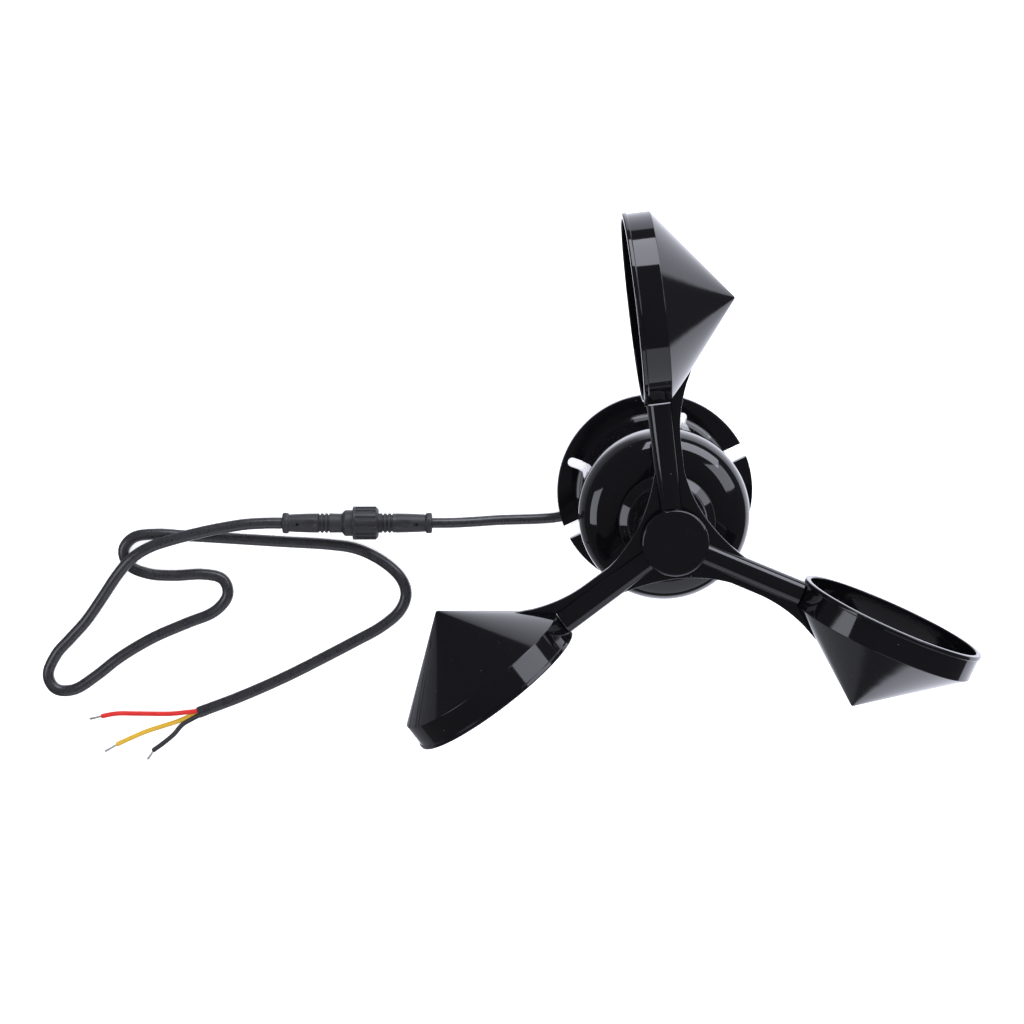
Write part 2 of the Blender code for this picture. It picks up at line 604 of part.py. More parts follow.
def build_cup(number, angle, mats):
    """A cone on a short band, open on the side that faces the wind."""
    half = CUP_BAND / 2
    slope = CONE_H / CUP_R
    apex = -half - CONE_H
    inner_r = CUP_R - CUP_WALL
    inner_apex = apex + CUP_WALL * math.hypot(1, slope)
    mouth = half + CUP_LIP
    profile = [(0, apex + 0.55), (0.8, apex + 0.85), (1.6, apex + 1.6 * slope), (CUP_R, -half),
               (CUP_R, half), (CUP_LIP_R, half + 0.2), (CUP_LIP_R, mouth - 0.3), (CUP_LIP_R - 0.3, mouth),
               (inner_r + 0.2, mouth), (inner_r, mouth - 0.2), (inner_r, inner_apex + inner_r * slope),
               (0, inner_apex)]
    along_y = Matrix.Rotation(math.radians(-90), 4, "X")
    place = spun(angle) @ moved(CUP_CENTRE_R, 0, ARM_Z) @ along_y
    turned(f"cup_{number}", profile, 28, mats["gloss"], place)


# ---- cable and connector ----
def connector_matrix():
    """The connector's own Z axis runs along it, from the sensor's side outwards."""
    along = Matrix.Rotation(math.radians(90), 4, "Y")
    return Matrix.Translation(CONNECTOR_START) @ spun(CONNECTOR_ANGLE) @ along


def ridges(start, count, pitch, low, high):
    """Outline points of a row of soft ridges, from low to high radius."""
    points = []
    for k in range(count):
        base = start + k * pitch
        points += [(low, base), (high, base + 0.3 * pitch), (high, base + 0.6 * pitch),
                   (low, base + 0.9 * pitch)]
    return points


def build_connector(mats):
    """Both moulded halves, the seal between them, the contacts and the loose nut."""
    place = connector_matrix()
    body, bead = CONNECTOR_R, CONNECTOR_BEAD_R
    plug = [(0, 0), (bead - 0.3, 0), (bead, 0.4), (bead, 2.2), (body, 2.7)]
    plug += ridges(13.7, 3, 1.4, body - 0.1, body + 0.15)
    plug += [(body, 19.3), (4.4, 19.4), (4.4, 20.7), (3.3, 20.7), (3.3, 27.3), (0, 27.3)]
    plug_half = turned("plug_half", plug, 14, mats["satin"], place)
    total = CONNECTOR_LENGTH
    socket = [(0, 27.7), (3.6, 27.7), (3.6, 22.4), (4.5, 22.4), (4.5, 30.4), (body, 31.0)]
    socket += ridges(34.7, 3, 1.4, body - 0.1, body + 0.15)
    socket += [(body, total - 2.7), (bead, total - 2.2), (bead, total - 0.4), (bead - 0.3, total), (0, total)]
    socket_half = turned("socket_half", socket, 14, mats["satin"], place)
    ring("connector_seal", 3.6, 4.4, 21.0, 22.0, 14, mats["rubber"], place)
    for number in range(1, 4):
        spot = place @ spun(120 * number) @ moved(1.6, 0, 0)
        cut(plug_half, disc(f"plug_way_{number}", 0.8, 24.9, 28, 6, None, spot))
        cut(socket_half, disc(f"socket_way_{number}", 0.8, 27, 31.6, 6, None, spot))
        disc(f"contact_pin_{number}", 0.5, 25.2, 31.3, 6, mats["brass"], spot)
    build_coupling_nut(place, mats)


def build_coupling_nut(place, mats):
    """A ribbed nut, free to turn about the connector's axis."""
    bm = bmesh.new()
    outline = []
    for k in range(NUT_RIBS):
        for part, radius in ((0.0, NUT_VALLEY_R), (0.2, NUT_R), (0.6, NUT_R), (0.8, NUT_VALLEY_R)):
            turn = math.tau * (k + part) / NUT_RIBS
            outline.append((radius * math.cos(turn), radius * math.sin(turn)))
    face = bm.faces.new([bm.verts.new((x, y, NUT_LOW)) for x, y in outline])
    grown = bmesh.ops.extrude_face_region(bm, geom=[face])
    top = [item for item in grown["geom"] if isinstance(item, bmesh.types.BMVert)]
    bmesh.ops.translate(bm, vec=(0, 0, NUT_HIGH - NUT_LOW), verts=top)
    bmesh.ops.scale(bm, vec=(MM, MM, MM), verts=bm.verts)
    bmesh.ops.recalc_face_normals(bm, faces=bm.faces)
    mesh = bpy.data.meshes.new("coupling_nut")
    bm.to_mesh(mesh)
    bm.free()
    mesh.materials.append(mats["satin"])
    nut = bpy.data.objects.new("coupling_nut", mesh)
    bpy.context.scene.collection.objects.link(nut)
    nut.matrix_world = Matrix.Scale(MM, 4) @ place @ Matrix.Scale(1 / MM, 4)
    bore = [(0, NUT_LOW - 0.6), (3.7, NUT_LOW - 0.6), (3.7, NUT_LOW + 0.5), (4.8, NUT_LOW + 0.5),
            (4.8, NUT_HIGH + 0.6), (0, NUT_HIGH + 0.6)]
    cut(nut, turned("nut_bore", bore, 14, None, place))


def build_cables(mats):
    """The sensor's own cable, the extension, and its three bare-ended cores."""
    cord("sensor_cable", SENSOR_ROUTE, SENSOR_CABLE_R, mats["jacket"])
    cord("extension_cable", EXTENSION_ROUTE, EXTENSION_R, mats["jacket"])
    for colour, route in CORE_ROUTES.items():
        cord(f"core_{colour}", route, CORE_R, mats[colour], 2.5)
        last, before = Vector(route[-1]), Vector(route[-2])
        start = last + (last - before).normalized() * GAP
        cord(f"wire_tip_{colour}", [start, Vector(TIP_ENDS[colour])], TIP_R, mats["tin"], 3.0)


def parent_to_empty(names, empty_name, matrix):
    """Hang a body's pieces on an empty that sits on its joint's axis."""
    empty = bpy.data.objects.new(empty_name, None)
    bpy.context.scene.collection.objects.link(empty)
    empty.matrix_world = matrix
    bpy.context.view_layer.update()
    for name in names:
        obj = bpy.data.objects[name]
        world = obj.matrix_world.copy()
        obj.parent = empty
        obj.matrix_parent_inverse = empty.matrix_world.inverted()
        obj.matrix_world = world


def main():
    clear_scene()
    mats = make_materials()
    build_lower_housing(mats)
    build_upper_housing(mats)
    build_bottom_cover(mats)
    build_screws(mats)
    build_seal(mats)
    build_grommet(mats)
    build_board(mats)
    build_bearing("lower", LOWER_BEARING_Z, mats)
    build_bearing("upper", UPPER_BEARING_Z, mats)
    build_shaft(mats)
    build_magnet_carrier(mats)
    build_spider(mats)
    build_hub_cap(mats)
    build_rotor_screw(mats)
    for number, angle in enumerate(ARM_ANGLES, 1):
        build_cup(number, angle, mats)
    build_connector(mats)
    build_cables(mats)
    rotor = ["rotor_spider", "cup_1", "cup_2", "cup_3", "hub_cap", "rotor_screw", "spring_washer", "shaft",
             "shaft_spacer", "shaft_circlip", "bearing_inner_upper", "bearing_inner_lower",
             "magnet_carrier", "magnet_1", "magnet_2"]
    parent_to_empty(rotor, "rotor_axis", Matrix.Identity(4))


main()
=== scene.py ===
# %% [markdown]
# # A three-cup wind sensor
# The sensor stands upright on its base: a slotted flange, a round neck, a domed lid, and a wheel with
# three conical cups above it.  Its cable lies beside it, joined by a small screwed connector, and ends in
# three bare wires.  The engineering model comes first and stays fixed.  This lesson builds the fine
# surface round it: sharper outlines, small roundings, and a finish for each material.

# %% Load the engineering model
import json
import math

import bpy
from mathutils import Matrix, Quaternion, Vector

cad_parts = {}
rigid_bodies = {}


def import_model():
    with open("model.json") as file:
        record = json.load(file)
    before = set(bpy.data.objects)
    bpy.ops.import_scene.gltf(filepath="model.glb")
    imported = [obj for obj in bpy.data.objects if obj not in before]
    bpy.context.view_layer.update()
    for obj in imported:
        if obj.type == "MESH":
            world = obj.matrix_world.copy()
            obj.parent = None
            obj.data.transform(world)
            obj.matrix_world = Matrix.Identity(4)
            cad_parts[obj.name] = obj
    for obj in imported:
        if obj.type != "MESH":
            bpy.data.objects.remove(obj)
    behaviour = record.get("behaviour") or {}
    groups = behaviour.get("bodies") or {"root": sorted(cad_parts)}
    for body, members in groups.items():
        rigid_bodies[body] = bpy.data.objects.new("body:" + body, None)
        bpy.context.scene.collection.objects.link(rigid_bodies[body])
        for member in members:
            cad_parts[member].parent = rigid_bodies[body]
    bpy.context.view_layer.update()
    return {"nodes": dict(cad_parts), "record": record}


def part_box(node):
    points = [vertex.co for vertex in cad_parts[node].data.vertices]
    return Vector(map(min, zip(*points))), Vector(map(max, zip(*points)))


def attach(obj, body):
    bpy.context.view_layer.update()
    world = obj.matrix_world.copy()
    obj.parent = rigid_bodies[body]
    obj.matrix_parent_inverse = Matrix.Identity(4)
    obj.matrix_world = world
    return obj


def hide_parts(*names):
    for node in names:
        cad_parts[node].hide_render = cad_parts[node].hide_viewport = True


for leftover in list(bpy.data.objects):
    bpy.data.objects.remove(leftover, do_unlink=True)
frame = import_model()
MM = 0.001

# %% [markdown]
# ## Where things are
# All heights are read from the engineering model, so the fine pieces sit exactly where the plain ones
# are.  The wheel turns about Z, which runs through the origin.


# %% Heights and places in millimetres
def low_of(node, axis=2):
    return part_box(node)[0][axis] / MM


def high_of(node, axis=2):
    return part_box(node)[1][axis] / MM


FLANGE_BOTTOM = 7.0
FLANGE_TOP = FLANGE_BOTTOM + 3.0
FLANGE_R = high_of("lower_housing", 1)
NECK_TOP = high_of("lower_housing") - 4.0
HUB_TOP = high_of("hub_cap")
ARM_Z = HUB_TOP - 5.8
ARM_ANGLES = (71.5, 191.5, 311.5)
CUP_CENTRE_R = 71.2
POST_ANGLES = (90.0, 210.0, 330.0)
POST_RING_R = 18.4
print("flange radius", round(FLANGE_R, 2), " neck top", round(NECK_TOP, 2), " hub top", round(HUB_TOP, 2))

# %% [markdown]
# ## Camera
# The sensor is looked at almost down the wheel's axis, from a little to one side, so that the cups show
# their cones and the dome shows below the hub.  The camera is turned about its own line of sight, so
# that one arm points up in the picture.

# %% Camera
CAMERA_AIM = Vector((-0.04406, 0.02218, 0.060))
CAMERA_AZIMUTH, CAMERA_ELEVATION, CAMERA_DISTANCE = 65.66, 80.58, 0.77621
CAMERA_ROLL = 178.87
FOCAL_LENGTH_MM = 84.375
swing, tilt = math.radians(CAMERA_AZIMUTH), math.radians(CAMERA_ELEVATION)
towards_camera = Vector((math.cos(tilt) * math.cos(swing), math.cos(tilt) * math.sin(swing), math.sin(tilt)))
bpy.ops.object.camera_add(location=CAMERA_AIM + towards_camera * CAMERA_DISTANCE)
camera = bpy.context.object
camera.rotation_mode = "QUATERNION"
camera.rotation_quaternion = ((-towards_camera).to_track_quat("-Z", "Y")
                              @ Quaternion((0, 0, 1), math.radians(CAMERA_ROLL)))
camera.data.lens = FOCAL_LENGTH_MM
camera.data.sensor_width = 36.0
camera.data.clip_start = 0.01
bpy.context.scene.camera = camera
bpy.context.scene.view_settings.view_transform = "Standard"
bpy.context.view_layer.update()
print("camera at", [round(v, 4) for v in camera.location])

# %% [markdown]
# ## Selecting first
# Blender's operators act on whatever is selected, and a freshly loaded model is selected all over.  So
# each modelling step starts by leaving edit mode and selecting nothing.


# %% Small modelling helpers
def start_clean():
    """Leave edit mode and select nothing."""
    if bpy.context.object is not None and bpy.context.object.mode != "OBJECT":
        bpy.ops.object.mode_set(mode="OBJECT")
    bpy.ops.object.select_all(action="DESELECT")


def choose(*pieces):
    """Select these pieces, the last one active."""
    start_clean()
    for piece in pieces:
        piece.select_set(True)
    bpy.context.view_layer.objects.active = pieces[-1]


def edit(piece, mode="VERT"):
    """Open one piece in edit mode with nothing selected in it."""
    choose(piece)
    bpy.ops.object.mode_set(mode="EDIT")
    bpy.ops.mesh.select_mode(type=mode)
    bpy.ops.mesh.select_all(action="DESELECT")


def pick(piece, test, mode="VERT"):
    """In edit mode, select the vertices, edges or faces whose middle passes the test, in millimetres."""
    edit(piece, mode)
    bpy.ops.object.mode_set(mode="OBJECT")
    mesh = piece.data
    items = {"VERT": mesh.vertices, "EDGE": mesh.edges, "FACE": mesh.polygons}[mode]
    for item in items:
        if mode == "VERT":
            middle = item.co
        elif mode == "EDGE":
            middle = (mesh.vertices[item.vertices[0]].co + mesh.vertices[item.vertices[1]].co) / 2
        else:
            middle = item.center
        item.select = bool(test(middle / MM, item))
    bpy.ops.object.mode_set(mode="EDIT")


def rounded(corners, steps=5):
    """An outline through (x, y, radius) corners, each turned into an arc of its own radius."""
    points = []
    for i, (x, y, radius) in enumerate(corners):
        here = Vector((x, y))
        if radius == 0:
            points.append((x, y))
            continue
        back = (Vector(corners[i - 1][:2]) - here).normalized()
        ahead = (Vector(corners[(i + 1) % len(corners)][:2]) - here).normalized()
        half = back.angle(ahead) / 2
        centre = here + (back + ahead).normalized() * radius / math.sin(half)
        start = here + back * radius / math.tan(half) - centre
        sweep = (math.pi - 2 * half) * (1 if back.x * ahead.y - back.y * ahead.x < 0 else -1)
        for k in range(steps + 1):
            turn = Matrix.Rotation(sweep * k / steps, 2)
            points.append(tuple(centre + turn @ start))
    return points


def smooth_route(points, count):
    """Points at an even spacing along a smooth curve through a few places, two or three numbers each."""
    route = [Vector(p) for p in points]
    route = [2 * route[0] - route[1]] + route + [2 * route[-1] - route[-2]]
    fine = []
    for i in range(1, len(route) - 2):
        a, b, c, d = route[i - 1:i + 3]
        for step in range(16):
            t = step / 16
            fine.append(0.5 * (2 * b + (c - a) * t + (2 * a - 5 * b + 4 * c - d) * t ** 2
                               + (3 * b - a - 3 * c + d) * t ** 3))
    fine.append(route[-2])
    lengths = [0.0]
    for before, after in zip(fine, fine[1:]):
        lengths.append(lengths[-1] + (after - before).length)
    result, place = [], 0
    for k in range(count + 1):
        target = lengths[-1] * k / count
        while place < len(fine) - 2 and lengths[place + 1] < target:
            place += 1
        span = lengths[place + 1] - lengths[place]
        result.append(fine[place].lerp(fine[place + 1], (target - lengths[place]) / span))
    return result


def route_length(points):
    return sum((b - a).length for a, b in zip(points, points[1:]))


print("helpers ready")

# %% [markdown]
# ## The cable comes first
# A cable keeps its length, so its route is settled before anything is made pretty.  It leaves the base
# under the flange, dips to the table, and rises to the connector, which lies on its thick nut.  The
# longer extension rises over its own loop in one long low hump, then lies flat.  Each route is a short
# list of places, and a smooth curve runs through them.

# %% Routes in millimetres
SENSOR_CABLE_R, EXTENSION_R, CORE_R = 1.8, 2.0, 0.84
SENSOR_ROUTE = [(-12, 4.4, 3.9), (-18, 4.4, 3.9), (-24, 4.4, 3.9), (-28.5, 4.4, 3.8),
                (-34, 5.0, 3.0), (-41, 7.4, 2.1), (-53, 12.7, 2.3), (-61, 16.2, 4.1),
                (-68, 19.4, 5.7), (-74.1, 22.3, 5.9)]
EXTENSION_ROUTE = [(-121.4, 44.8, 5.9), (-127, 47.4, 5.9), (-133.5, 50, 5.9), (-141, 52.2, 6.1),
                   (-149, 54.2, 6.5), (-158, 56, 7.0), (-166, 57, 7.1), (-173.5, 56.2, 7.0),
                   (-181, 53, 6.0), (-190, 47.8, 3.9), (-199, 42.8, 2.5), (-207, 39.5, 2.1),
                   (-214, 36.6, 2.1), (-220, 31.5, 2.1), (-220, 25.5, 2.1), (-214, 22.5, 2.1),
                   (-205, 23.6, 2.1), (-194, 26, 2.1), (-181, 27.2, 2.1), (-168, 26.8, 2.1),
                   (-157.5, 26.3, 2.1), (-150.5, 29.5, 2.1), (-149.5, 35.5, 2.1), (-155, 40, 2.1),
                   (-164, 43.8, 2.1), (-171.5, 48, 2.1), (-176.5, 53.5, 2.1), (-176, 59.5, 2.1),
                   (-170.5, 62, 2.1), (-163, 59.6, 2.1), (-155, 55.2, 2.1), (-147, 50.8, 2.1),
                   (-137.5, 45.5, 2.1), (-124, 38, 2.1), (-111, 30.8, 2.1), (-102.5, 25, 2.1),
                   (-96.5, 17.5, 2.1), (-93.2, 9.5, 2.1), (-94, 3, 2.1), (-99, -1.6, 2.1),
                   (-107.5, -3.8, 2.1), (-117, -4.4, 2.1), (-128, -4.9, 2.1), (-145, -5.4, 2.1),
                   (-162, -5, 2.1), (-178, -3.8, 2.1)]
CORE_ROUTES = {
    "red": [(-170, -3.9, 2.7), (-178.3, -2.9, 2.6), (-183, -1.6, 2.1), (-188.6, 0.3, 1.3),
            (-198.5, 5, 0.85), (-205, 8.1, 0.85), (-210.4, 9.6, 0.85)],
    "yellow": [(-170, -4.4, 1.1), (-178.3, -3.8, 1.05), (-187, -3.6, 0.85), (-198, -2.2, 0.85),
               (-206, -1.9, 0.85), (-210.2, -1.9, 0.85)],
    "black": [(-168, -5.3, 2.6), (-178.3, -4.7, 2.6), (-182, -4.9, 1.8), (-186, -5.4, 1.1),
              (-190.4, -7.3, 0.85), (-195, -8.5, 0.85), (-199.7, -9.4, 0.85)],
}
TIP_ENDS = {"red": (-214.8, 10.5, 0.6), "yellow": (-215.3, -2.4, 0.6), "black": (-202.9, -11.5, 0.6)}
JACKET_STOP = (-175.6, -3.99, 2.1)
print("extension:", round(route_length(smooth_route(EXTENSION_ROUTE, 300))), "mm")

# %% [markdown]
# ## Round cables
# A cable is a round bar along a route.  A curve with a bevel depth gives just that, with closed ends, and
# keeps its centre line, from which its length is measured.  The extension's own tube stops a little before
# its cut end, where a short sleeve takes over and shows the wall of the jacket.


# %% A cable as a round curve
def cable(name, route, radius, spacing):
    """A smooth round tube whose centre line follows the route; the values are in millimetres."""
    start_clean()
    count = max(8, round(route_length([Vector(p) for p in route]) / spacing))
    points = smooth_route(route, count)
    curve = bpy.data.curves.new(name, "CURVE")
    curve.dimensions = "3D"
    curve.bevel_depth = radius * MM
    curve.bevel_resolution = 6
    curve.use_fill_caps = True
    spline = curve.splines.new("POLY")
    spline.points.add(count)
    for slot, point in zip(spline.points, points):
        slot.co = (*(point * MM), 1.0)
    tube = bpy.data.objects.new(name, curve)
    bpy.context.scene.collection.objects.link(tube)
    print(name, round(route_length(points), 1), "mm long")
    return tube, route_length(points) * MM


sensor_cable, sensor_length = cable("sensor_lead", SENSOR_ROUTE, SENSOR_CABLE_R, 0.9)
extension_cable, extension_length = cable("extension_lead", EXTENSION_ROUTE[:-1] + [JACKET_STOP],
                                          EXTENSION_R, 1.0)
cores = {colour: cable(f"wire_{colour}", route, CORE_R, 0.5) for colour, route in CORE_ROUTES.items()}

# %% [markdown]
# ## Turned pieces
# Most of the sensor is round: cups, hub, lid, neck and connector.  Each starts as a plane merged to one
# point, which is then extruded along an outline, as one draws half a vase, and spun about the axis.
# Doubles at the seam and the pole are merged, and the normals are made to point outwards.


# %% Spin an outline into a piece
def turned(name, outline, steps=128, closed=False):
    """Extrude one point along an outline of (radius, height) in millimetres and spin it about Z."""
    start_clean()
    bpy.ops.mesh.primitive_plane_add(size=0.01)
    piece = bpy.context.object
    piece.name = name
    bpy.ops.object.mode_set(mode="EDIT")
    bpy.ops.mesh.merge(type="CENTER")
    points = list(outline) + ([outline[0]] if closed else [])
    bpy.ops.transform.translate(value=(points[0][0] * MM, 0, points[0][1] * MM))
    for (x0, z0), (x1, z1) in zip(points, points[1:]):
        bpy.ops.mesh.extrude_vertices_move(
            TRANSFORM_OT_translate={"value": ((x1 - x0) * MM, 0, (z1 - z0) * MM)})
    bpy.ops.mesh.select_all(action="SELECT")
    bpy.ops.mesh.spin(steps=steps, angle=math.tau, center=(0, 0, 0), axis=(0, 0, 1))
    tidy_mesh()
    return piece


def tidy_mesh():
    """In edit mode: merge doubles, drop slivers, and turn all the faces outwards."""
    bpy.ops.mesh.select_all(action="SELECT")
    bpy.ops.mesh.remove_doubles(threshold=2e-6)
    bpy.ops.mesh.dissolve_degenerate(threshold=1e-6)
    bpy.ops.mesh.normals_make_consistent(inside=False)
    bpy.ops.object.mode_set(mode="OBJECT")


def slab(name, outline, low, high):
    """Trace a closed outline of (x, y) points in millimetres, fill it and extrude it upwards."""
    start_clean()
    bpy.ops.mesh.primitive_plane_add(size=0.01)
    piece = bpy.context.object
    piece.name = name
    bpy.ops.object.mode_set(mode="EDIT")
    bpy.ops.mesh.merge(type="CENTER")
    points = list(outline) + [outline[0]]
    bpy.ops.transform.translate(value=(points[0][0] * MM, points[0][1] * MM, low * MM))
    for (x0, y0), (x1, y1) in zip(points, points[1:]):
        bpy.ops.mesh.extrude_vertices_move(
            TRANSFORM_OT_translate={"value": ((x1 - x0) * MM, (y1 - y0) * MM, 0)})
    bpy.ops.mesh.select_all(action="SELECT")
    bpy.ops.mesh.remove_doubles(threshold=2e-6)
    bpy.ops.mesh.edge_face_add()
    bpy.ops.mesh.select_all(action="SELECT")
    bpy.ops.mesh.extrude_region_move(TRANSFORM_OT_translate={"value": (0, 0, (high - low) * MM)})
    tidy_mesh()
    return piece


def block(name, low, high):
    """A box between two corners in millimetres, from a cube."""
    start_clean()
    low, high = Vector(low) * MM, Vector(high) * MM
    bpy.ops.mesh.primitive_cube_add(size=1.0, location=(low + high) / 2)
    piece = bpy.context.object
    piece.name = name
    piece.scale = high - low
    bpy.ops.object.transform_apply(location=True, rotation=True, scale=True)
    return piece


def add_modifier(piece, kind, **settings):
    """Add a modifier and apply it."""
    choose(piece)
    bpy.ops.object.modifier_add(type=kind)
    modifier = piece.modifiers[-1]
    for name, value in settings.items():
        setattr(modifier, name, value)
    bpy.ops.object.modifier_apply(modifier=modifier.name)


def combine(piece, tool, operation):
    """Union or cut with another closed piece, which is then removed."""
    add_modifier(piece, "BOOLEAN", object=tool, operation=operation, solver="MANIFOLD")
    bpy.data.objects.remove(tool, do_unlink=True)


def place(piece, matrix):
    """Move a piece by a matrix and put its place into its mesh."""
    choose(piece)
    piece.matrix_world = matrix @ piece.matrix_world
    bpy.ops.object.transform_apply(location=True, rotation=True, scale=True)


def copy_of(piece, name):
    """A copy with its own mesh."""
    choose(piece)
    bpy.ops.object.duplicate()
    twin = bpy.context.object
    twin.name = name
    return twin


def spun(angle):
    return Matrix.Rotation(math.radians(angle), 4, "Z")


def shifted(x, y, z):
    return Matrix.Translation(Vector((x, y, z)) * MM)


def smooth(piece, angle=35):
    """Smooth shading with sharp edges kept, and large faces leading the normals."""
    choose(piece)
    bpy.ops.object.shade_smooth_by_angle(angle=math.radians(angle))
    add_modifier(piece, "WEIGHTED_NORMAL", keep_sharp=True)


print("shaping helpers ready")

# %% [markdown]
# ## Finishes
# Every finish is made from nodes.  Arithmetic on a texture reads like ordinary Python, because a small
# class stands for a value in the material and turns +, *, < and > into Math nodes.


# %% Values that write their own Math nodes
class Value:
    """One output socket in a finish."""

    def __init__(self, finish, socket):
        self.finish = finish
        self.socket = socket

    def math(self, operation, first, second):
        return self.finish.node("ShaderNodeMath", {"operation": operation}, {0: first, 1: second})

    def __add__(self, other):
        return self.math("ADD", self, other)

    def __mul__(self, other):
        return self.math("MULTIPLY", self, other)

    def __lt__(self, other):
        return self.math("LESS_THAN", self, other)

    def __gt__(self, other):
        return self.math("GREATER_THAN", self, other)

    __radd__ = __add__
    __rmul__ = __mul__


class Finish:
    """A Principled material with constants on its own sockets and textures where the surface varies."""

    def __init__(self, name, **constants):
        self.material = bpy.data.materials.new(name)
        self.material.use_nodes = True
        self.tree = self.material.node_tree
        self.shader = self.tree.nodes["Principled BSDF"]
        for socket, value in constants.items():
            self.shader.inputs[socket.replace("_", " ")].default_value = value
        self.object_place = self.node("ShaderNodeTexCoord", output="Object")

    def node(self, kind, settings=None, sockets=None, output=0):
        """Any node: its settings first, then the values or links of its sockets."""
        made = self.tree.nodes.new(kind)
        for name, value in (settings or {}).items():
            if name == "stops":
                ramp = made.color_ramp.elements
                while len(ramp) < len(value):
                    ramp.new(1.0)
                for stop, (position, colour) in zip(ramp, value):
                    stop.position = position
                    stop.color = (*colour, 1.0)
            else:
                setattr(made, name, value)
        for name, value in (sockets or {}).items():
            self.set_socket(made.inputs[name], value)
        return Value(self, made.outputs[output])

    def set_socket(self, socket, value):
        if isinstance(value, Value):
            self.tree.links.new(value.socket, socket)
        else:
            socket.default_value = value

    def wire(self, name, value):
        self.set_socket(self.shader.inputs[name], value)

    def stretched(self, x, y, z):
        """Object coordinates scaled along each axis."""
        return self.node("ShaderNodeMapping", None, {"Vector": self.object_place, "Scale": (x, y, z)})

    def noise(self, scale, detail=2.0, roughness=0.5, where=None):
        return self.node("ShaderNodeTexNoise", None,
                         {"Vector": where or self.object_place, "Scale": scale, "Detail": detail,
                          "Roughness": roughness})

    def dots(self, spacing_mm, size, share):
        """Small round marks: one in a share of the cells, size as a part of a cell."""
        scale = 1 / (spacing_mm * MM)
        where = {"Vector": self.object_place, "Scale": scale}
        near = self.node("ShaderNodeTexVoronoi", None, where, "Distance")
        cell = self.node("ShaderNodeTexVoronoi", None, where, "Color")
        lot = self.node("ShaderNodeSeparateColor", None, {0: cell})
        return (near < size) * (lot > 1 - share)

    def blend(self, amount, low, high):
        """A colour between two, by an amount from 0 to 1."""
        return self.node("ShaderNodeMix", {"data_type": "RGBA"}, {0: amount, 6: low, 7: high}, 2)

    def bumps(self, height, depth_mm, strength=1.0):
        """Relief from a height between 0 and 1."""
        self.wire("Normal", self.node("ShaderNodeBump", None,
                                      {"Strength": strength, "Distance": depth_mm * MM, "Height": height}))


print("finish tools ready")

# %% [markdown]
# ### Glossy black plastic
# The housing and the wheel are moulded in a black plastic that shines like a piano.  Its own colour is
# almost nothing, so all that one sees is what it mirrors.  A very shallow waviness from the mould keeps
# the reflections alive, finger marks change the shine a little, and a few specks of dust lie on it.


# %% Glossy black plastic
def gloss_black_plastic():
    finish = Finish("gloss_black_plastic", Specular_IOR_Level=0.5)
    marks = finish.noise(38, 4, 0.6)
    dust = finish.dots(2.6, 0.05, 0.22)
    finish.wire("Base Color", finish.blend(dust, (0.0030, 0.0028, 0.0036, 1), (0.09, 0.09, 0.1, 1)))
    finish.wire("Roughness", 0.035 + marks * 0.045 + dust * 0.4)
    waves = finish.noise(170, 1, 0.4)
    finish.bumps(waves + finish.noise(45, 0) * 2.0, 0.012)
    return finish.material


# %% [markdown]
# ### Satin plastic, rubber and cable jacket
# The connector is moulded in a fine spark-eroded tool, so it is dark grey and satin.  Rubber is duller
# still.  The jackets of the cables are soft plastic with a silky shine and faint extrusion marks.


# %% Satin plastic, rubber and jacket
def satin_black_plastic():
    finish = Finish("satin_black_plastic", Specular_IOR_Level=0.45)
    grain = finish.noise(2600, 2, 0.6)
    patches = finish.noise(120, 3, 0.55)
    finish.wire("Base Color", finish.blend(patches, (0.012, 0.012, 0.0135, 1), (0.022, 0.022, 0.025, 1)))
    finish.wire("Roughness", 0.40 + patches * 0.12)
    finish.bumps(grain, 0.02, 0.8)
    return finish.material


def black_rubber():
    finish = Finish("black_rubber", Specular_IOR_Level=0.4)
    patches = finish.noise(200, 4, 0.6)
    finish.wire("Base Color", finish.blend(patches, (0.010, 0.010, 0.010, 1), (0.024, 0.023, 0.022, 1)))
    finish.wire("Roughness", 0.62 + patches * 0.2)
    finish.bumps(finish.noise(1800, 3, 0.7), 0.03, 0.8)
    return finish.material


def cable_jacket():
    finish = Finish("cable_jacket", Specular_IOR_Level=0.5)
    scuffs = finish.noise(260, 4, 0.65)
    finish.wire("Base Color", finish.blend(scuffs, (0.012, 0.012, 0.0135, 1), (0.026, 0.026, 0.029, 1)))
    finish.wire("Roughness", 0.2 + scuffs * 0.16)
    finish.bumps(finish.noise(900, 2, 0.6) + finish.noise(260, 1) * 2.0, 0.03, 0.8)
    return finish.material


# %% [markdown]
# ### Core insulation and bare metal
# Inside the jacket run a red, a yellow and a black core.  Their insulation is a smooth, slightly
# translucent plastic.  The bare ends are tinned copper: bright, with the lay of the strands.


# %% Cores, tin, steel, brass and nickel
def core_insulation(name, low, high):
    finish = Finish(name, Specular_IOR_Level=0.5)
    cloud = finish.noise(420, 3, 0.6)
    finish.wire("Base Color", finish.blend(cloud, (*low, 1), (*high, 1)))
    finish.wire("Roughness", 0.32 + cloud * 0.14)
    finish.bumps(finish.noise(1500, 2), 0.01, 0.6)
    return finish.material


def metal(name, low, high, roughness, stretch=(900, 900, 120), depth=0.006):
    """A bare metal with fine lines along its longer direction."""
    finish = Finish(name, Metallic=1.0)
    lines = finish.noise(1.0, 3, 0.6, finish.stretched(*stretch))
    cloud = finish.noise(90, 3, 0.6)
    finish.wire("Base Color", finish.blend(cloud, (*low, 1), (*high, 1)))
    finish.wire("Roughness", roughness + lines * 0.12 + cloud * 0.06)
    finish.bumps(lines, depth, 0.7)
    return finish.material


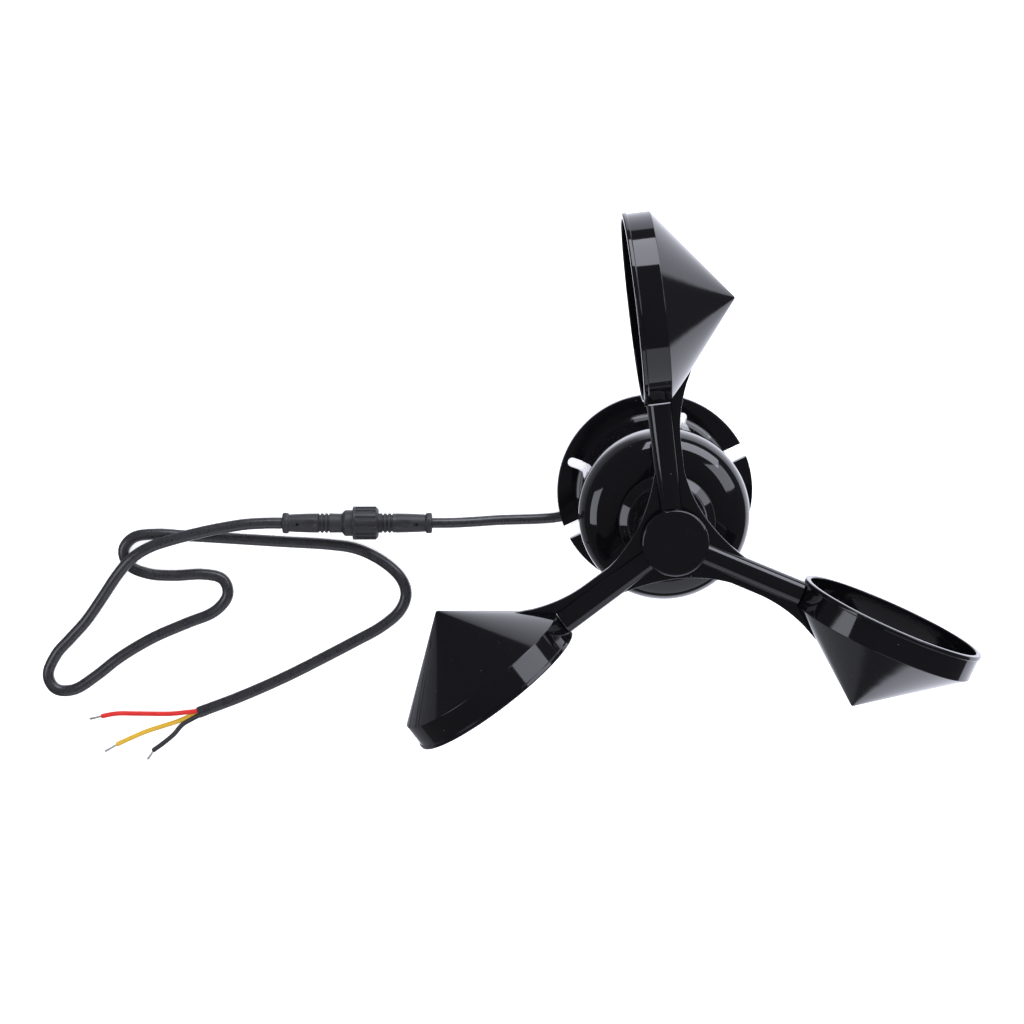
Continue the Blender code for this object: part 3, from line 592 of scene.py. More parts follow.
# %% [markdown]
# ### Inside parts
# The circuit board gets its green mask with lighter copper tracks under it, made from one brick pattern
# whose rows give straight runs.  The chips, the white mouldings and the sleeve of the capacitor are
# plain mouldings with a fine grain.


# %% Circuit board and mouldings
def board_green():
    finish = Finish("board_green", Specular_IOR_Level=0.5)
    tracks = finish.node("ShaderNodeTexBrick", {"offset": 0.37, "squash": 1.0},
                         {"Vector": finish.object_place, "Scale": 320, "Mortar Size": 0.07,
                          "Brick Width": 1.9, "Row Height": 0.42, "Color1": (0, 0, 0, 1),
                          "Color2": (0, 0, 0, 1), "Mortar": (1, 1, 1, 1)}, "Fac")
    cloud = finish.noise(300, 2)
    pads = finish.dots(3.2, 0.16, 0.5)
    mask = finish.blend(tracks, (0.008, 0.085, 0.03, 1), (0.03, 0.2, 0.07, 1))
    finish.wire("Base Color", finish.blend(pads, mask, (0.62, 0.6, 0.55, 1)))
    finish.wire("Roughness", 0.28 + cloud * 0.12)
    finish.wire("Metallic", pads * 0.9)
    finish.bumps(tracks + pads, 0.03)
    return finish.material


def moulding(name, low, high, roughness):
    finish = Finish(name, Specular_IOR_Level=0.45)
    cloud = finish.noise(150, 3, 0.6)
    finish.wire("Base Color", finish.blend(cloud, (*low, 1), (*high, 1)))
    finish.wire("Roughness", roughness + cloud * 0.12)
    finish.bumps(finish.noise(2200, 2, 0.6), 0.012, 0.8)
    return finish.material


FINISHES = {
    "gloss_black": gloss_black_plastic(),
    "satin_black": satin_black_plastic(),
    "rubber_black": black_rubber(),
    "jacket_black": cable_jacket(),
    "core_red": core_insulation("core_red", (0.46, 0.012, 0.010), (0.58, 0.026, 0.020)),
    "core_yellow": core_insulation("core_yellow", (0.50, 0.30, 0.018), (0.58, 0.38, 0.04)),
    "core_black": core_insulation("core_black", (0.010, 0.010, 0.011), (0.022, 0.022, 0.024)),
    "tinned_copper": metal("tinned_copper", (0.66, 0.65, 0.62), (0.80, 0.79, 0.77), 0.24),
    "steel": metal("ground_steel", (0.50, 0.50, 0.50), (0.62, 0.62, 0.63), 0.22),
    "brass_pin": metal("machined_brass", (0.70, 0.47, 0.19), (0.82, 0.60, 0.28), 0.24),
    "magnet_nickel": metal("nickel_plate", (0.52, 0.52, 0.50), (0.62, 0.61, 0.58), 0.16),
    "white_plastic": moulding("white_moulding", (0.72, 0.71, 0.66), (0.84, 0.83, 0.79), 0.42),
    "board_green": board_green(),
    "component_black": moulding("chip_moulding", (0.014, 0.014, 0.014), (0.03, 0.03, 0.03), 0.5),
}
print(len(FINISHES), "finishes")

# %% [markdown]
# ## Handing a piece over
# When a piece is shaped it gets its finish, takes the place of the plain node that it stands for, and
# rides on the body that this node belongs to.

# %% Finish, body and slot of a piece
SLOT_OF = {row["node"]: row["material_slot"] for row in frame["record"]["subparts"]}
BODY_OF = {node: body for body, nodes in frame["record"]["behaviour"]["bodies"].items() for node in nodes}


def hand_over(piece, node, *more_nodes, also=False):
    """Give a piece its finish and let it stand for its node, or ride beside it where also is set."""
    slot = SLOT_OF[node]
    piece.data.materials.clear()
    piece.data.materials.append(FINISHES[slot])
    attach(piece, BODY_OF[node])
    if not also:
        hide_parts(node, *more_nodes)
    size = len(piece.data.polygons) if piece.type == "MESH" else len(piece.data.splines[0].points)
    print(f"{piece.name}: {size} faces or points, for {node}")


# %% [markdown]
# ## Cups
# A cup is a thin-walled cone with a short straight band and a small bead round its mouth.  It is drawn
# once as half an outline, with every corner rounded, spun, and copied to the three arms.  The mouth
# points the way the wheel doesn't turn, so the hollow side catches the wind.

# %% Cups
CUP_R, LIP_R, CUP_WALL, CUP_BAND, CUP_LIP, CONE_H = 28.8, 29.2, 1.4, 7.0, 1.3, 23.0
band_edge = CUP_BAND / 2
mouth = band_edge + CUP_LIP
cone_slope = CONE_H / CUP_R
apex = -band_edge - CONE_H
inner_r = CUP_R - CUP_WALL
inner_apex = apex + CUP_WALL * math.hypot(1, cone_slope)
nose = [(0.9 * math.sin(math.radians(a)), apex + 1.32 - 0.92 * math.cos(math.radians(a)))
        for a in (0, 10, 20, 30, 38)]
cup_outline = nose + rounded([
    (nose[-1][0], nose[-1][1], 0), (CUP_R, -band_edge, 0.3), (CUP_R, band_edge - 0.15, 0.12),
    (LIP_R, band_edge + 0.05, 0.2), (LIP_R, mouth, 0.45), (inner_r, mouth, 0.35),
    (inner_r, inner_apex + inner_r * cone_slope, 1.2), (0, inner_apex, 0)], 5)[1:]
cup = turned("cup_shell_1", cup_outline, 160)
smooth(cup, 40)
along_y = Matrix.Rotation(math.radians(-90), 4, "X")
cups = [cup, copy_of(cup, "cup_shell_2"), copy_of(cup, "cup_shell_3")]
for number, (piece, angle) in enumerate(zip(cups, ARM_ANGLES), 1):
    place(piece, spun(angle) @ shifted(CUP_CENTRE_R, 0, ARM_Z) @ along_y)
    hand_over(piece, f"cup_{number}")

# %% [markdown]
# ## Hub, arms and web
# The hub is a slim bell whose skirt keeps rain off the bearing below it.  Three arms leave it: each is a
# bar with a softly rounded section, a little slimmer at the hub, and lies on a thin flat web that widens
# to a cup's cone.  The parts are united into one closed piece, as the moulding is.

# %% Hub bell
TOWER_TOP = high_of("upper_housing")
SHAFT_R, SHAFT_TOP, RECESS_R, RECESS_FLOOR = 2.5, high_of("shaft"), 7.3, 103.0
hub_top = HUB_TOP - 1.9
BOSS_R, BOSS_FOOT = 4.3, 91.4
outer_bell = smooth_route([(9.9, 104), (10.1, 100.5), (10.6, 96), (11.2, 90), (11.8, 83), (12.2, 78.6),
                           (12.45, 76.2)], 26) + [(12.6, 75.7), (12.9, 75.3), (15.1, 73.75), (15.4, 73.4)]
inner_bell = smooth_route([(14.3, 72.4), (13.2, 74.2), (11.9, 76.6), (11.2, 79), (10.4, TOWER_TOP - 2)], 14)
ceiling = TOWER_TOP + 1.3
hub_outline = ([(0, hub_top)] + rounded([(0, hub_top, 0), (9.9, hub_top, 0.3), (9.9, 104, 0)], 4)[1:-1]
               + [tuple(p) for p in outer_bell]
               + [(15.45, 72.3), (15.4, 71.25), (15.15, 71), (14.55, 71), (14.3, 71.2)]
               + [tuple(p) for p in inner_bell]
               + [(10.4, ceiling), (BOSS_R, ceiling), (BOSS_R, BOSS_FOOT), (SHAFT_R + 0.3, BOSS_FOOT),
                  (SHAFT_R + 0.3, SHAFT_TOP + 0.3), (0, SHAFT_TOP + 0.3)])
hub = turned("hub_and_arms", hub_outline, 144)
print("hub outline:", len(hub_outline), "points")

# %% [markdown]
# ### Web
# The web is flat, so one closed outline is traced and extruded.  It is the same arm three times, joined by
# smooth valleys, and it runs a hair into the cups so that no light shows at the joint.

# %% Web under the arms
ARM_END = CUP_CENTRE_R - LIP_R + 0.15
ARM_HALF_WIDTH, ARM_HALF_HEIGHT, WEB_T = 3.8, 3.6, 2.0


def web_outline():
    """The flat web: one closed outline, three times the same arm, with the cone on the -y side."""
    foot = 5.3
    flare = [(30 + 23 * k / 12, -foot - 6.4 * (k / 12) ** 2) for k in range(13)]
    reach = math.hypot(1, cone_slope)
    clear = -0.12
    cone_foot = CUP_CENTRE_R - CUP_R
    along_cone = [(cone_foot + depth / cone_slope - clear * cone_slope / reach,
                   -band_edge - depth - clear / reach) for depth in (8.2, 0.0)]
    arm = ([(21, -foot)] + flare[:-3] + along_cone
           + [(ARM_END - 0.2, -band_edge), (ARM_END - 0.2, ARM_HALF_WIDTH - 0.4),
              (23, ARM_HALF_WIDTH - 0.4)])
    outline = []
    for k in range(3):
        turn, following = spun(ARM_ANGLES[k]), spun(ARM_ANGLES[k] + 120)
        points = [turn @ Vector((x, y, 0)) for x, y in arm]
        start, end = points[-1], following @ Vector((21, -foot, 0))
        pull = turn @ Vector((9 * math.cos(math.radians(63)), 9 * math.sin(math.radians(63)), 0))
        valley = [(1 - t) ** 2 * start + 2 * t * (1 - t) * pull + t ** 2 * end
                  for t in (j / 20 for j in range(1, 20))]
        outline += [(p.x, p.y) for p in points + valley]
    return outline


web = slab("web", web_outline(), ARM_Z - WEB_T / 2, ARM_Z + WEB_T / 2)
add_modifier(web, "BEVEL", width=0.35 * MM, segments=3, limit_method="ANGLE", angle_limit=math.radians(60))

# %% [markdown]
# ### Arms
# One bar is made from a block whose four long edges are bevelled until its section is nearly oval.  Its
# inner end is made a little slimmer, and three copies are united with the web and the hub.

# %% Arms
ARM_START = 6.5
arm = block("arm", (ARM_START, -ARM_HALF_WIDTH, ARM_Z - ARM_HALF_HEIGHT),
            (ARM_END, ARM_HALF_WIDTH, ARM_Z + ARM_HALF_HEIGHT))
arm_middle = (ARM_START + ARM_END) / 2
pick(arm, lambda p, e: abs(abs(p.y) - ARM_HALF_WIDTH) < 0.1 and abs(p.x - arm_middle) < 1, "EDGE")
bpy.ops.mesh.bevel(offset=3.15 * MM, segments=12, profile=0.5)
pick(arm, lambda p, v: p.x < 8)
bpy.ops.transform.resize(value=(1, 0.91, 0.98))
bpy.ops.object.mode_set(mode="OBJECT")
for number, angle in enumerate(ARM_ANGLES):
    rod = copy_of(arm, f"rod_{number}")
    place(rod, spun(angle))
    combine(web, rod, "UNION")
combine(hub, web, "UNION")
bpy.data.objects.remove(arm, do_unlink=True)
print("hub with arms:", len(hub.data.polygons), "faces")

# %% [markdown]
# ### Recess for the cap
# The cap sits in a round recess, and a screw goes down from its floor into the shaft.  Both are turned
# cutters, taken out of the hub last, because the arms have filled its top.

# %% Cap recess and screw hole
SCREW_WAY_R = 1.9
recess = turned("recess", [(0, RECESS_FLOOR), (RECESS_R, RECESS_FLOOR), (RECESS_R, HUB_TOP + 1),
                           (0, HUB_TOP + 1)], 96)
combine(hub, recess, "DIFFERENCE")
screw_way = turned("screw_way", [(0, SHAFT_TOP - 2), (SCREW_WAY_R, SHAFT_TOP - 2),
                                 (SCREW_WAY_R, RECESS_FLOOR + 2), (0, RECESS_FLOOR + 2)], 48)
combine(hub, screw_way, "DIFFERENCE")
smooth(hub, 38)
hand_over(hub, "rotor_spider")

# %% [markdown]
# ## Hub cap
# A flat round cap closes the hub.  Its rim is rounded just enough to catch a thin line of light.

# %% Hub cap
CAP_R, CAP_T = 10.2, 1.6
under = HUB_TOP - CAP_T
cap_outline = rounded([(0, under - 3.2, 0), (RECESS_R - 0.3, under - 3.2, 0.3), (RECESS_R - 0.3, under, 0),
                       (CAP_R, under, 0.2), (CAP_R, HUB_TOP, 0.75), (0, HUB_TOP, 0)], 8)
cap = turned("cap_disc", cap_outline, 144)
smooth(cap, 40)
hand_over(cap, "hub_cap")

# %% [markdown]
# ## Dome
# The lid is a smooth dome with a short upright rim.  A tower inside it holds both bearings, and it plugs
# over the neck's spigot.

# %% Dome
RIM_R, RIM_TOP, DOME_TOP = 27.8, NECK_TOP + 2.6, NECK_TOP + 16.3
TOWER_R, SEAT_R, SPIGOT_R, SPIGOT_TOP = 9.2, 7.3, 24.9, NECK_TOP + 4
LOWER_BEARING, UPPER_BEARING, BEARING_W = NECK_TOP - 2, NECK_TOP + 32, 5.0
flat_r = 13.0
reach, rise, wall = RIM_R - flat_r, DOME_TOP - RIM_TOP, 2.2
fullness = 2 / 3.0
dome_arc = [(flat_r + reach * math.sin(math.radians(a)) ** fullness,
             RIM_TOP + rise * math.cos(math.radians(a)) ** fullness)
            for a in (1, 2, 4, *range(6, 86, 3), 86, 88)]
inner_arc = [(flat_r + (reach - wall - 0.6) * math.sin(math.radians(a)),
              RIM_TOP + (rise - wall) * math.cos(math.radians(a))) for a in range(68, 7, -6)]
dome_outline = ([(SEAT_R, TOWER_TOP), (TOWER_R - 0.2, TOWER_TOP), (TOWER_R, TOWER_TOP - 0.2)]
                + rounded([(TOWER_R, TOWER_TOP - 0.2, 0), (TOWER_R, DOME_TOP, 0.9),
                           (*dome_arc[0], 0)], 6)[1:-1]
                + dome_arc
                + rounded([(*dome_arc[-1], 0), (RIM_R, NECK_TOP + 0.3, 0.5),
                           (SPIGOT_R + 0.3, NECK_TOP + 0.3, 0)], 5)[1:]
                + [(SPIGOT_R + 0.3, SPIGOT_TOP + 0.4)] + inner_arc
                + [(TOWER_R + 0.2, RIM_TOP + rise - wall), (TOWER_R + 0.2, NECK_TOP - 3.5),
                   (SEAT_R, NECK_TOP - 3.5), (SEAT_R, LOWER_BEARING + BEARING_W + 0.3),
                   (5.9, LOWER_BEARING + BEARING_W + 0.3), (5.9, UPPER_BEARING - 0.3),
                   (SEAT_R, UPPER_BEARING - 0.3)])
dome = turned("domed_lid", dome_outline, 160, closed=True)
smooth(dome, 40)
hand_over(dome, "upper_housing")

# %% [markdown]
# ## Neck and flange
# The base is one moulding: a short skirt to stand on, a thin flange with two open notches and four
# slots, and a hollow neck.  It is spun from one rounded outline.  The notches and slots are then cut
# right through with boxes and round-ended slabs.

# %% Neck and flange
SKIRT_R, NECK_R, BORE_R = 25.0, 26.0, 22.0
neck_outline = rounded([
    (BORE_R, 0, 0.2), (SKIRT_R, 0, 0.4), (SKIRT_R, FLANGE_BOTTOM, 0.3), (FLANGE_R, FLANGE_BOTTOM, 0.35),
    (FLANGE_R, FLANGE_TOP, 0.35), (NECK_R + 1, FLANGE_TOP, 0.15), (NECK_R + 1, FLANGE_TOP + 1.3, 0.3),
    (NECK_R, FLANGE_TOP + 1.9, 0.2), (NECK_R, NECK_TOP, 0.3), (SPIGOT_R, NECK_TOP, 0.1),
    (SPIGOT_R, NECK_TOP + 1, 0.05), (SPIGOT_R - 1, NECK_TOP + 1, 0.1), (SPIGOT_R - 1, NECK_TOP + 2.6, 0.1),
    (SPIGOT_R, NECK_TOP + 2.6, 0.05), (SPIGOT_R, SPIGOT_TOP, 0.2), (BORE_R, SPIGOT_TOP, 0.2)], 4)
neck = turned("neck_and_flange", neck_outline, 160, closed=True)
SLOT_W, NOTCH_W, SLOT_FLOOR_R = 3.2, 5.0, 23.6
for angle in (0, 180):
    notch = block("notch", (NECK_R - 0.4, -NOTCH_W / 2, FLANGE_BOTTOM - 0.6),
                  (FLANGE_R + 2, NOTCH_W / 2, FLANGE_TOP + 2.4))
    place(notch, spun(angle))
    combine(neck, notch, "DIFFERENCE")
for angle, end in ((45, 28.8), (135, 31.7), (225, 28.8), (315, 31.7)):
    half = SLOT_W / 2
    arc = [(end - half + half * math.sin(math.pi * k / 16), -half * math.cos(math.pi * k / 16))
           for k in range(17)]
    slot = slab("slot", arc + [(SLOT_FLOOR_R, half), (SLOT_FLOOR_R, -half)], -1, NECK_TOP - 7)
    place(slot, spun(angle))
    combine(neck, slot, "DIFFERENCE")
cable_way = block("cable_way", (-SKIRT_R - 2, 4.4 - 3.2, -1), (-BORE_R + 3, 4.4 + 3.2, FLANGE_BOTTOM - 0.2))
combine(neck, cable_way, "DIFFERENCE")
print("neck cut:", len(neck.data.polygons), "faces")

# %% [markdown]
# ### Screw posts
# Three hollow posts take a cover screw from below and a board screw from above, and a rib ties each to the
# neck's wall.  Each post is turned where it is simplest, at the origin, and then moved out to its place.

# %% Screw posts inside the neck
POST_LOW, POST_HIGH, POST_R, PILOT_R = 3.3, 14.0, 2.7, 1.3
for angle in POST_ANGLES:
    post = turned("post", [(0, POST_LOW + 5), (PILOT_R, POST_LOW + 5), (PILOT_R, POST_LOW),
                           (POST_R, POST_LOW), (POST_R, POST_HIGH), (PILOT_R, POST_HIGH),
                           (PILOT_R, POST_HIGH - 4.2), (0, POST_HIGH - 4.2)], 40)
    place(post, spun(angle) @ shifted(POST_RING_R, 0, 0))
    combine(neck, post, "UNION")
    rib = block("rib", (POST_RING_R + 1.9, -1.1, POST_LOW + 0.6), (BORE_R + 1, 1.1, POST_HIGH - 0.6))
    place(rib, spun(angle))
    combine(neck, rib, "UNION")
smooth(neck, 38)
hand_over(neck, "lower_housing")

# %% [markdown]
# ## Bottom cover and screws
# A flat cover closes the skirt from below.  Three countersunk seats hold small screws with a cross in
# their heads.  One screw is modelled, and the others are copies of it.

# %% Bottom cover
COVER_R, COVER_T, COVER_PAD = BORE_R - 0.3, 1.5, 3.0
cover_outline = rounded([(0, 0, 0), (COVER_R, 0, 0.4), (COVER_R, COVER_T, 0.2), (0, COVER_T, 0)], 5)
cover = turned("base_cover", cover_outline, 144)
for angle in POST_ANGLES:
    spot = spun(angle) @ shifted(POST_RING_R, 0, 0)
    pad = turned("pad", [(0, 0.8), (3, 0.8), (3, COVER_PAD), (0, COVER_PAD)], 48)
    place(pad, spot)
    combine(cover, pad, "UNION")
    sink = turned("sink", [(0, -1), (2.55, -1), (2.55, 0.1), (2.45, 0.2), (2.45, 1.6),
                           (PILOT_R, 1.6), (PILOT_R, COVER_PAD + 1), (0, COVER_PAD + 1)], 48)
    place(sink, spot)
    combine(cover, sink, "DIFFERENCE")
groove = turned("groove", [(12.0, -0.5), (12.8, -0.5), (12.8, 0.25), (12.0, 0.25)], 96, closed=True)
combine(cover, groove, "DIFFERENCE")
smooth(cover, 38)
hand_over(cover, "bottom_cover")

# %% [markdown]
# ### Screws
# A screw is turned like the rest: head, thread and tip make one outline, with a ring for each turn of the
# thread, which looks the same as a true thread at this size.  Two bars cut the cross in the head.


# %% Screws
def screw(name, head_r, head_low, head_high, shank_r, tip):
    """A pan-head screw whose shank has a rolled thread, with a cross cut in its head."""
    up = 1 if tip > head_high else -1
    face, neck_end = (head_low, head_high) if up > 0 else (head_high, head_low)
    crown = [(0, face), (head_r * 0.72, face + up * 0.04), (head_r * 0.93, face + up * 0.22),
             (head_r, face + up * 0.5), (head_r, neck_end - up * 0.08), (head_r - 0.1, neck_end),
             (shank_r * 0.8, neck_end)]
    pitch, depth = 0.5, shank_r * 0.2
    turns = int((abs(tip - neck_end) - 0.7) / pitch)
    thread = []
    for k in range(turns):
        z = neck_end + up * (0.25 + k * pitch)
        thread += [(shank_r - depth, z), (shank_r, z + up * pitch * 0.4),
                   (shank_r - depth, z + up * pitch * 0.8)]
    outline = crown + thread + [(shank_r * 0.6, tip - up * 0.25), (0, tip)]
    made = turned(name, outline, 48)
    for turn in (0, 90):
        bar = block("bar", (-head_r * 0.62, -0.22, face - 0.6), (head_r * 0.62, 0.22, face + 0.6))
        place(bar, spun(turn + 20))
        combine(made, bar, "DIFFERENCE")
    smooth(made, 40)
    return made


BOARD_Z, BOARD_T = POST_HIGH + 0.3, 1.6
board_top = BOARD_Z + BOARD_T + 0.3
cover_screw = screw("cover_fixing", 2.2, 0.3, 1.3, 1.0, COVER_PAD + 4.4)
board_screw = screw("board_fixing", 2.2, board_top, board_top + 1.3, 1.0, POST_HIGH - 3.6)
for number, angle in enumerate(POST_ANGLES, 1):
    for model, kind in ((cover_screw, "cover_screw"), (board_screw, "board_screw")):
        twin = copy_of(model, f"fine_{kind}_{number}")
        place(twin, spun(angle) @ shifted(POST_RING_R, 0, 0) @ spun(37 * number))
        hand_over(twin, f"{kind}_{number}")
for model in (cover_screw, board_screw):
    bpy.data.objects.remove(model, do_unlink=True)
hub_screw = screw("hub_fixing", 2.9, RECESS_FLOOR + 1.1, RECESS_FLOOR + 3.1, 1.5, SHAFT_TOP - 8)
hand_over(hub_screw, "rotor_screw")

# %% [markdown]
# ## Cable grommet
# A rubber block fills the cable's slot in the skirt.  Its outer plate has soft edges, and a short ribbed
# sleeve keeps the cable from being bent sharply where it leaves.

# %% Cable grommet
EXIT_Y, EXIT_Z = 4.4, 3.9
grommet_top = FLANGE_BOTTOM - 0.5
grommet = block("rubber_grommet", (-SKIRT_R - 0.6, EXIT_Y - 2.8, 0.3), (-BORE_R, EXIT_Y + 2.8, grommet_top))
plate = block("plate", (-SKIRT_R - 1.6, EXIT_Y - 3.6, 0.3), (-SKIRT_R - 0.4, EXIT_Y + 3.6, grommet_top))
add_modifier(plate, "BEVEL", width=0.35 * MM, segments=4)
combine(grommet, plate, "UNION")
along_x = Matrix.Rotation(math.radians(90), 4, "Y")
sleeve_outline = [(0, -SKIRT_R - 1.0), (2.6, -SKIRT_R - 1.0)]
for k in range(4):
    start = -SKIRT_R - 1.6 - 1.1 * k
    sleeve_outline += rounded([(2.62 - 0.06 * k, start + 0.3, 0), (2.62 - 0.06 * k, start - 0.5, 0.2),
                               (2.3 - 0.04 * k, start - 0.5, 0.1), (2.3 - 0.04 * k, start - 0.8, 0)], 3)
sleeve_outline += [(2.2, -SKIRT_R - 6.2), (0, -SKIRT_R - 6.2)]
sleeve = turned("sleeve", sleeve_outline, 64)
place(sleeve, shifted(0, EXIT_Y, EXIT_Z) @ along_x)
combine(grommet, sleeve, "UNION")
bore = turned("bore", [(0, -SKIRT_R - 9), (SENSOR_CABLE_R + 0.12, -SKIRT_R - 9),
                       (SENSOR_CABLE_R + 0.12, -BORE_R + 6), (0, -BORE_R + 6)], 64)
place(bore, shifted(0, EXIT_Y, EXIT_Z) @ along_x)
combine(grommet, bore, "DIFFERENCE")
smooth(grommet, 38)
hand_over(grommet, "cable_grommet")

# %% [markdown]
# ## Connector
# Two moulded halves meet under a ribbed nut.  Each half has a bead at its cable end, a small gate hole, a
# shallow oval for the fingers on two sides, and three soft ridges.  Their axis lies along the cable, so
# they are made upright and laid down afterwards.

# %% Connector halves
CONNECTOR_START = Vector((-74.4, 22.4, 5.9))
CONNECTOR_ANGLE, CONNECTOR_LENGTH = 154.5, 51.8
laid_down = Matrix.Translation(CONNECTOR_START * MM) @ spun(CONNECTOR_ANGLE) @ along_x
HALF_R, BEAD_R = 3.3, 3.62


def half_outline(ridge_from, ridge_step, inner_end):
    """The outline of one half from its cable end inwards, before its inner end is added."""
    points = rounded([(0, -0.45, 0), (1.75, -0.45, 0), (1.75, 0.25, 0.1), (2.6, 0, 0.3), (BEAD_R, 0, 0.7),
                      (BEAD_R, 1.9, 0.65), (HALF_R - 0.3, 2.3, 0.3), (HALF_R - 0.12, 5.5, 0)], 6)
    points += [(HALF_R, 9), (HALF_R + 0.05, 12), (HALF_R, ridge_from - 0.2)]
    for k in range(3):
        z = ridge_from + ridge_step * k
        points += [(HALF_R + 0.08, z), (HALF_R - 0.42, z + 0.2), (HALF_R - 0.42, z + 0.55),
                   (HALF_R + 0.08, z + 0.75)]
    return points + [(HALF_R, inner_end)]


def grips(half, centre, length):
    """Shallow ovals on the upper and lower side, and a gate hole near the bead."""
    for side in (-1, 1):
        start_clean()
        bpy.ops.mesh.primitive_uv_sphere_add(segments=64, ring_count=32, radius=1.0)
        oval = bpy.context.object
        oval.scale = (1.1 * MM, 2.35 * MM, length / 2 * MM)
        oval.location = (side * (HALF_R + 0.4) * MM, 0, centre * MM)
        bpy.ops.object.transform_apply(location=True, rotation=True, scale=True)
        combine(half, oval, "DIFFERENCE")
    hole = turned("hole", [(0, 1.4), (0.55, 1.4), (0.55, 4.5), (0, 4.5)], 24)
    place(hole, shifted(0, 0, 5.3 if centre < 20 else 0) @ Matrix.Rotation(math.radians(-90), 4, "Y"))
    combine(half, hole, "DIFFERENCE")


plug = turned("plug_shell", half_outline(13.6, 1.5, 18.9) + rounded([
    (HALF_R, 18.9, 0), (HALF_R, 19.35, 0.1), (4.4, 19.4, 0.15), (4.4, 20.7, 0.15), (3.3, 20.7, 0.1),
    (3.3, 27.3, 0.2), (0, 27.3, 0)], 4)[1:], 96)
grips(plug, 9.6, 6.4)
socket = turned("socket_shell", half_outline(12.6, 1.5, 19.6) + rounded([
    (HALF_R, 19.6, 0), (HALF_R, 20.6, 0.3), (4.5, 21.6, 0.7), (4.5, 29.4, 0.2), (3.6, 29.4, 0.05),
    (3.6, 24.1, 0.05), (0, 24.1, 0)], 5)[1:], 96)
grips(socket, 8.6, 7.2)
place(socket, shifted(0, 0, CONNECTOR_LENGTH) @ Matrix.Rotation(math.pi, 4, "X"))
for piece, node in ((plug, "plug_half"), (socket, "socket_half")):
    for number in range(1, 4):
        pin_way = turned("way", [(0, 24.9), (0.8, 24.9), (0.8, 31.6), (0, 31.6)], 24)
        place(pin_way, spun(120 * number) @ shifted(1.6, 0, 0))
        combine(piece, pin_way, "DIFFERENCE")
    smooth(piece, 38)
    place(piece, laid_down)
    hand_over(piece, node)

# %% [markdown]
# ### Coupling nut
# The nut is turned with a plain outer wall, and a row of soft-edged cutters then leaves a rib between each
# two.  They stop short of its inner end, which keeps a full round rim.

# %% Coupling nut
NUT_R, NUT_VALLEY_R, NUT_BORE_R, NUT_MOUTH_R, NUT_RIBS = 5.78, 5.3, 4.8, 3.7, 14
NUT_LOW, NUT_FLOOR, NUT_HIGH = 18.6, 19.1, 27.4
nut_outline = rounded([(NUT_MOUTH_R, NUT_LOW, 0.1), (NUT_VALLEY_R - 0.5, NUT_LOW, 0.2),
                       (NUT_R, NUT_LOW + 0.9, 0.3), (NUT_R, NUT_HIGH, 0.25), (NUT_BORE_R, NUT_HIGH, 0.15),
                       (NUT_BORE_R, NUT_FLOOR, 0.1), (NUT_MOUTH_R, NUT_FLOOR, 0.05)], 4)
nut = turned("ribbed_nut", nut_outline, NUT_RIBS * 16, closed=True)
for k in range(NUT_RIBS):
    scoop = block(f"scoop_{k}", (NUT_VALLEY_R, -0.8, NUT_LOW - 1), (NUT_R + 1, 0.8, NUT_HIGH - 1.1))
    add_modifier(scoop, "BEVEL", width=0.25 * MM, segments=3)
    place(scoop, spun(360 * k / NUT_RIBS))
    combine(nut, scoop, "DIFFERENCE")
smooth(nut, 38)
place(nut, laid_down)
hand_over(nut, "coupling_nut")

# %% [markdown]
# ## Cut end of the jacket
# Where the jacket ends, its wall shows as a thin ring round a dark hollow, and the three cores come out
# of it.  A short sleeve with a bore makes that mouth.

# %% Jacket mouth
mouth_end = Vector(EXTENSION_ROUTE[-1])
mouth_way = (mouth_end - Vector(EXTENSION_ROUTE[-2])).normalized()
sleeve = turned("jacket_mouth", rounded([
    (1.5, -2.4, 0), (EXTENSION_R + 0.03, -2.4, 0), (EXTENSION_R + 0.03, 0.6, 0.12),
    (1.5, 0.6, 0.1)], 4), 64, closed=True)
smooth(sleeve, 40)
place(sleeve, Matrix.Translation(mouth_end * MM) @ mouth_way.to_track_quat("Z", "Y").to_matrix().to_4x4())
hand_over(sleeve, "extension_cable", also=True)

# %% [markdown]
# ### Bare wire ends
# Each core ends in a few millimetres of tinned strands: one straight strand with six twisted round it,
# which spread a little towards the cut.  Each strand is a thin cable, and the seven are joined.

# %% Bare wire ends
for colour, (tube, length) in cores.items():
    route = [Vector(p) for p in CORE_ROUTES[colour]]
    way = (route[-1] - route[-2]).normalized()
    start, end = route[-1] - way * 0.5, Vector(TIP_ENDS[colour])
    along = end - start
    strands = []
    for k in range(7):
        radius = 0 if k == 0 else 0.27
        points = []
        for j in range(25):
            t = j / 24
            turn = math.tau * (k / 6 + 0.9 * t)
            spread = 1 + 0.5 * t * t * ((k * 7) % 5) / 4
            points.append((radius * spread * math.cos(turn), radius * spread * math.sin(turn),
                           along.length * (t - 0.03 * (k % 3))))
        strand, _ = cable(f"strand_{colour}_{k}", points, 0.13, 0.3)
        strands.append(strand)
    choose(*strands)
    bpy.ops.object.join()
    bundle = bpy.context.object
    bundle.name = f"bare_end_{colour}"
    bpy.ops.object.convert(target="MESH")
    place(bundle, Matrix.Translation(start * MM) @ along.to_track_quat("Z", "Y").to_matrix().to_4x4())
    hand_over(bundle, f"wire_tip_{colour}")

# %% [markdown]
# ## Handing over the cables
# Each cable and each core gets its finish, takes the place of its plain node and rides on its body.

# %% Cables handed over
hand_over(sensor_cable, "sensor_cable")
hand_over(extension_cable, "extension_cable")
nodes = frame["nodes"]
for colour, (tube, length) in cores.items():
    hand_over(tube, f"core_{colour}")

